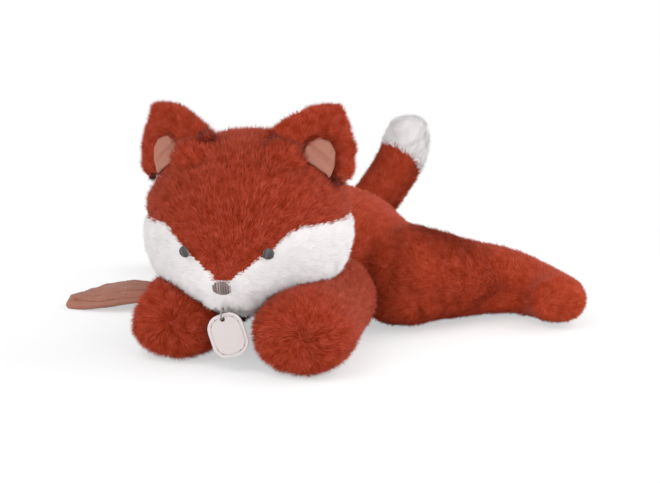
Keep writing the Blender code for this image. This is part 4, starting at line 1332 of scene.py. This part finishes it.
class FOX_OT_stage(bpy.types.Operator):
    """Pale floor, soft light and the photograph's camera"""

    bl_idname = "fox.stage"
    bl_label = "Stage"

    def execute(self, context):
        scene = context.scene
        scene.view_settings.view_transform = "Standard"
        self.floor()
        self.world(scene)
        head = Vector(pivot("head")[0])
        for name, way, away, size, power in LAMPS:
            light = bpy.data.lights.new(name, "AREA")
            light.energy, light.size = power, size
            lamp = bpy.data.objects.new(name, light)
            lamp.location = head + Vector(way).normalized() * away
            lamp.rotation_euler = (head - lamp.location).to_track_quat("-Z", "Y").to_euler()
            scene.collection.objects.link(lamp)
        self.camera(scene, head)
        return {"FINISHED"}

    def floor(self):
        """A pale floor that fades to white away from the fox."""
        mesh = bpy.data.meshes.new("floor")
        signs = ((-1, -1), (1, -1), (1, 1), (-1, 1))
        mesh.from_pydata([(x * FLOOR_HALF, y * FLOOR_HALF, 0) for x, y in signs], [], [(0, 1, 2, 3)])
        tree, shader = finish_named("pale floor")
        dial(shader, {"Base Color": (0.93, 0.93, 0.93, 1), "Roughness": 0.8, "Specular IOR Level": 0.1})
        seen = add(tree, "ShaderNodeLightPath", output="Is Camera Ray")
        far = vector(tree, "LENGTH", object_place(tree))["Value"]
        fade = {"Value": far, "From Min": FADE_START, "From Max": FADE_END, "To Min": 0.5}
        white = add(tree, "ShaderNodeMapRange", None, fade)
        glow = add(tree, "ShaderNodeEmission", None, {"Color": (1, 1, 1, 1), "Strength": 1.0})
        self.seen_as(tree, seen * white, shader, glow, tree.nodes["Material Output"])
        mesh.materials.append(bpy.data.materials["pale floor"])
        new_object("floor", mesh)

    def world(self, scene):
        """White behind everything, and a softer sky that lights it."""
        world = bpy.data.worlds.new("studio")
        scene.world = world
        world.use_nodes = True
        tree = world.node_tree
        soft = tree.nodes["Background"]
        dial(soft, {"Color": (1, 1, 1, 1), "Strength": SKY_STRENGTH})
        white = add(tree, "ShaderNodeBackground", None, {"Color": (1, 1, 1, 1), "Strength": 1.0})
        seen = add(tree, "ShaderNodeLightPath", output="Is Camera Ray")
        self.seen_as(tree, seen, soft, white, tree.nodes["World Output"])

    def seen_as(self, tree, share, shader, other, output):
        """Show a share of another shader in place of a first one."""
        shaders = {"Fac": share, 1: Value(tree, shader.outputs[0]), 2: other}
        join(tree, add(tree, "ShaderNodeMixShader", None, shaders), output.inputs["Surface"])

    def camera(self, scene, head):
        """The photograph's camera, which sees the head at its pixel."""
        a, e = CAMERA_TURN, CAMERA_RISE
        right = Vector((math.cos(a), math.sin(a), 0))
        deep = Vector((-math.sin(a) * math.cos(e), math.cos(a) * math.cos(e), -math.sin(e)))
        up = right.cross(deep)
        aside, above = PHOTO_WIDTH / 2 - HEAD_PIXEL[0], PHOTO_HEIGHT / 2 - HEAD_PIXEL[1]
        aim = deep * FOCAL_PIXELS + right * aside - up * above
        lens = bpy.data.cameras.new("photo")
        lens.sensor_width = SENSOR_WIDTH
        lens.lens = lens.sensor_width * FOCAL_PIXELS / PHOTO_WIDTH
        lens.clip_start, lens.clip_end = 0.05, 50
        camera = bpy.data.objects.new("photo", lens)
        camera.location = head - deep * CAMERA_AWAY
        camera.rotation_euler = aim.to_track_quat("-Z", "Y").to_euler()
        scene.collection.objects.link(camera)
        scene.camera = camera


OPERATORS = (
    FOX_OT_body,
    FOX_OT_forelegs,
    FOX_OT_tail,
    FOX_OT_head,
    FOX_OT_ears,
    FOX_OT_face,
    FOX_OT_leaf,
    FOX_OT_tag,
    FOX_OT_stage,
)


class FOX_PT_panel(bpy.types.Panel):
    """Lists the fox's sizes, colours and pieces"""

    bl_label = "Plush Fox"
    bl_space_type = "VIEW_3D"
    bl_region_type = "UI"
    bl_category = "Plush Fox"

    def draw(self, context):
        for name in FoxSettings.__annotations__:
            self.layout.prop(context.scene.plush_fox, name)
        for operator in OPERATORS:
            self.layout.operator(operator.bl_idname)


CLASSES = (FoxSettings, *OPERATORS, FOX_PT_panel)


def register():
    for made in CLASSES:
        bpy.utils.register_class(made)
    bpy.types.Scene.plush_fox = bpy.props.PointerProperty(type=FoxSettings)


def unregister():
    del bpy.types.Scene.plush_fox
    for made in reversed(CLASSES):
        bpy.utils.unregister_class(made)


def main():
    register()
    for operator in OPERATORS:
        getattr(bpy.ops.fox, operator.bl_idname.split(".")[1])()


if __name__ == "__main__":
    main()
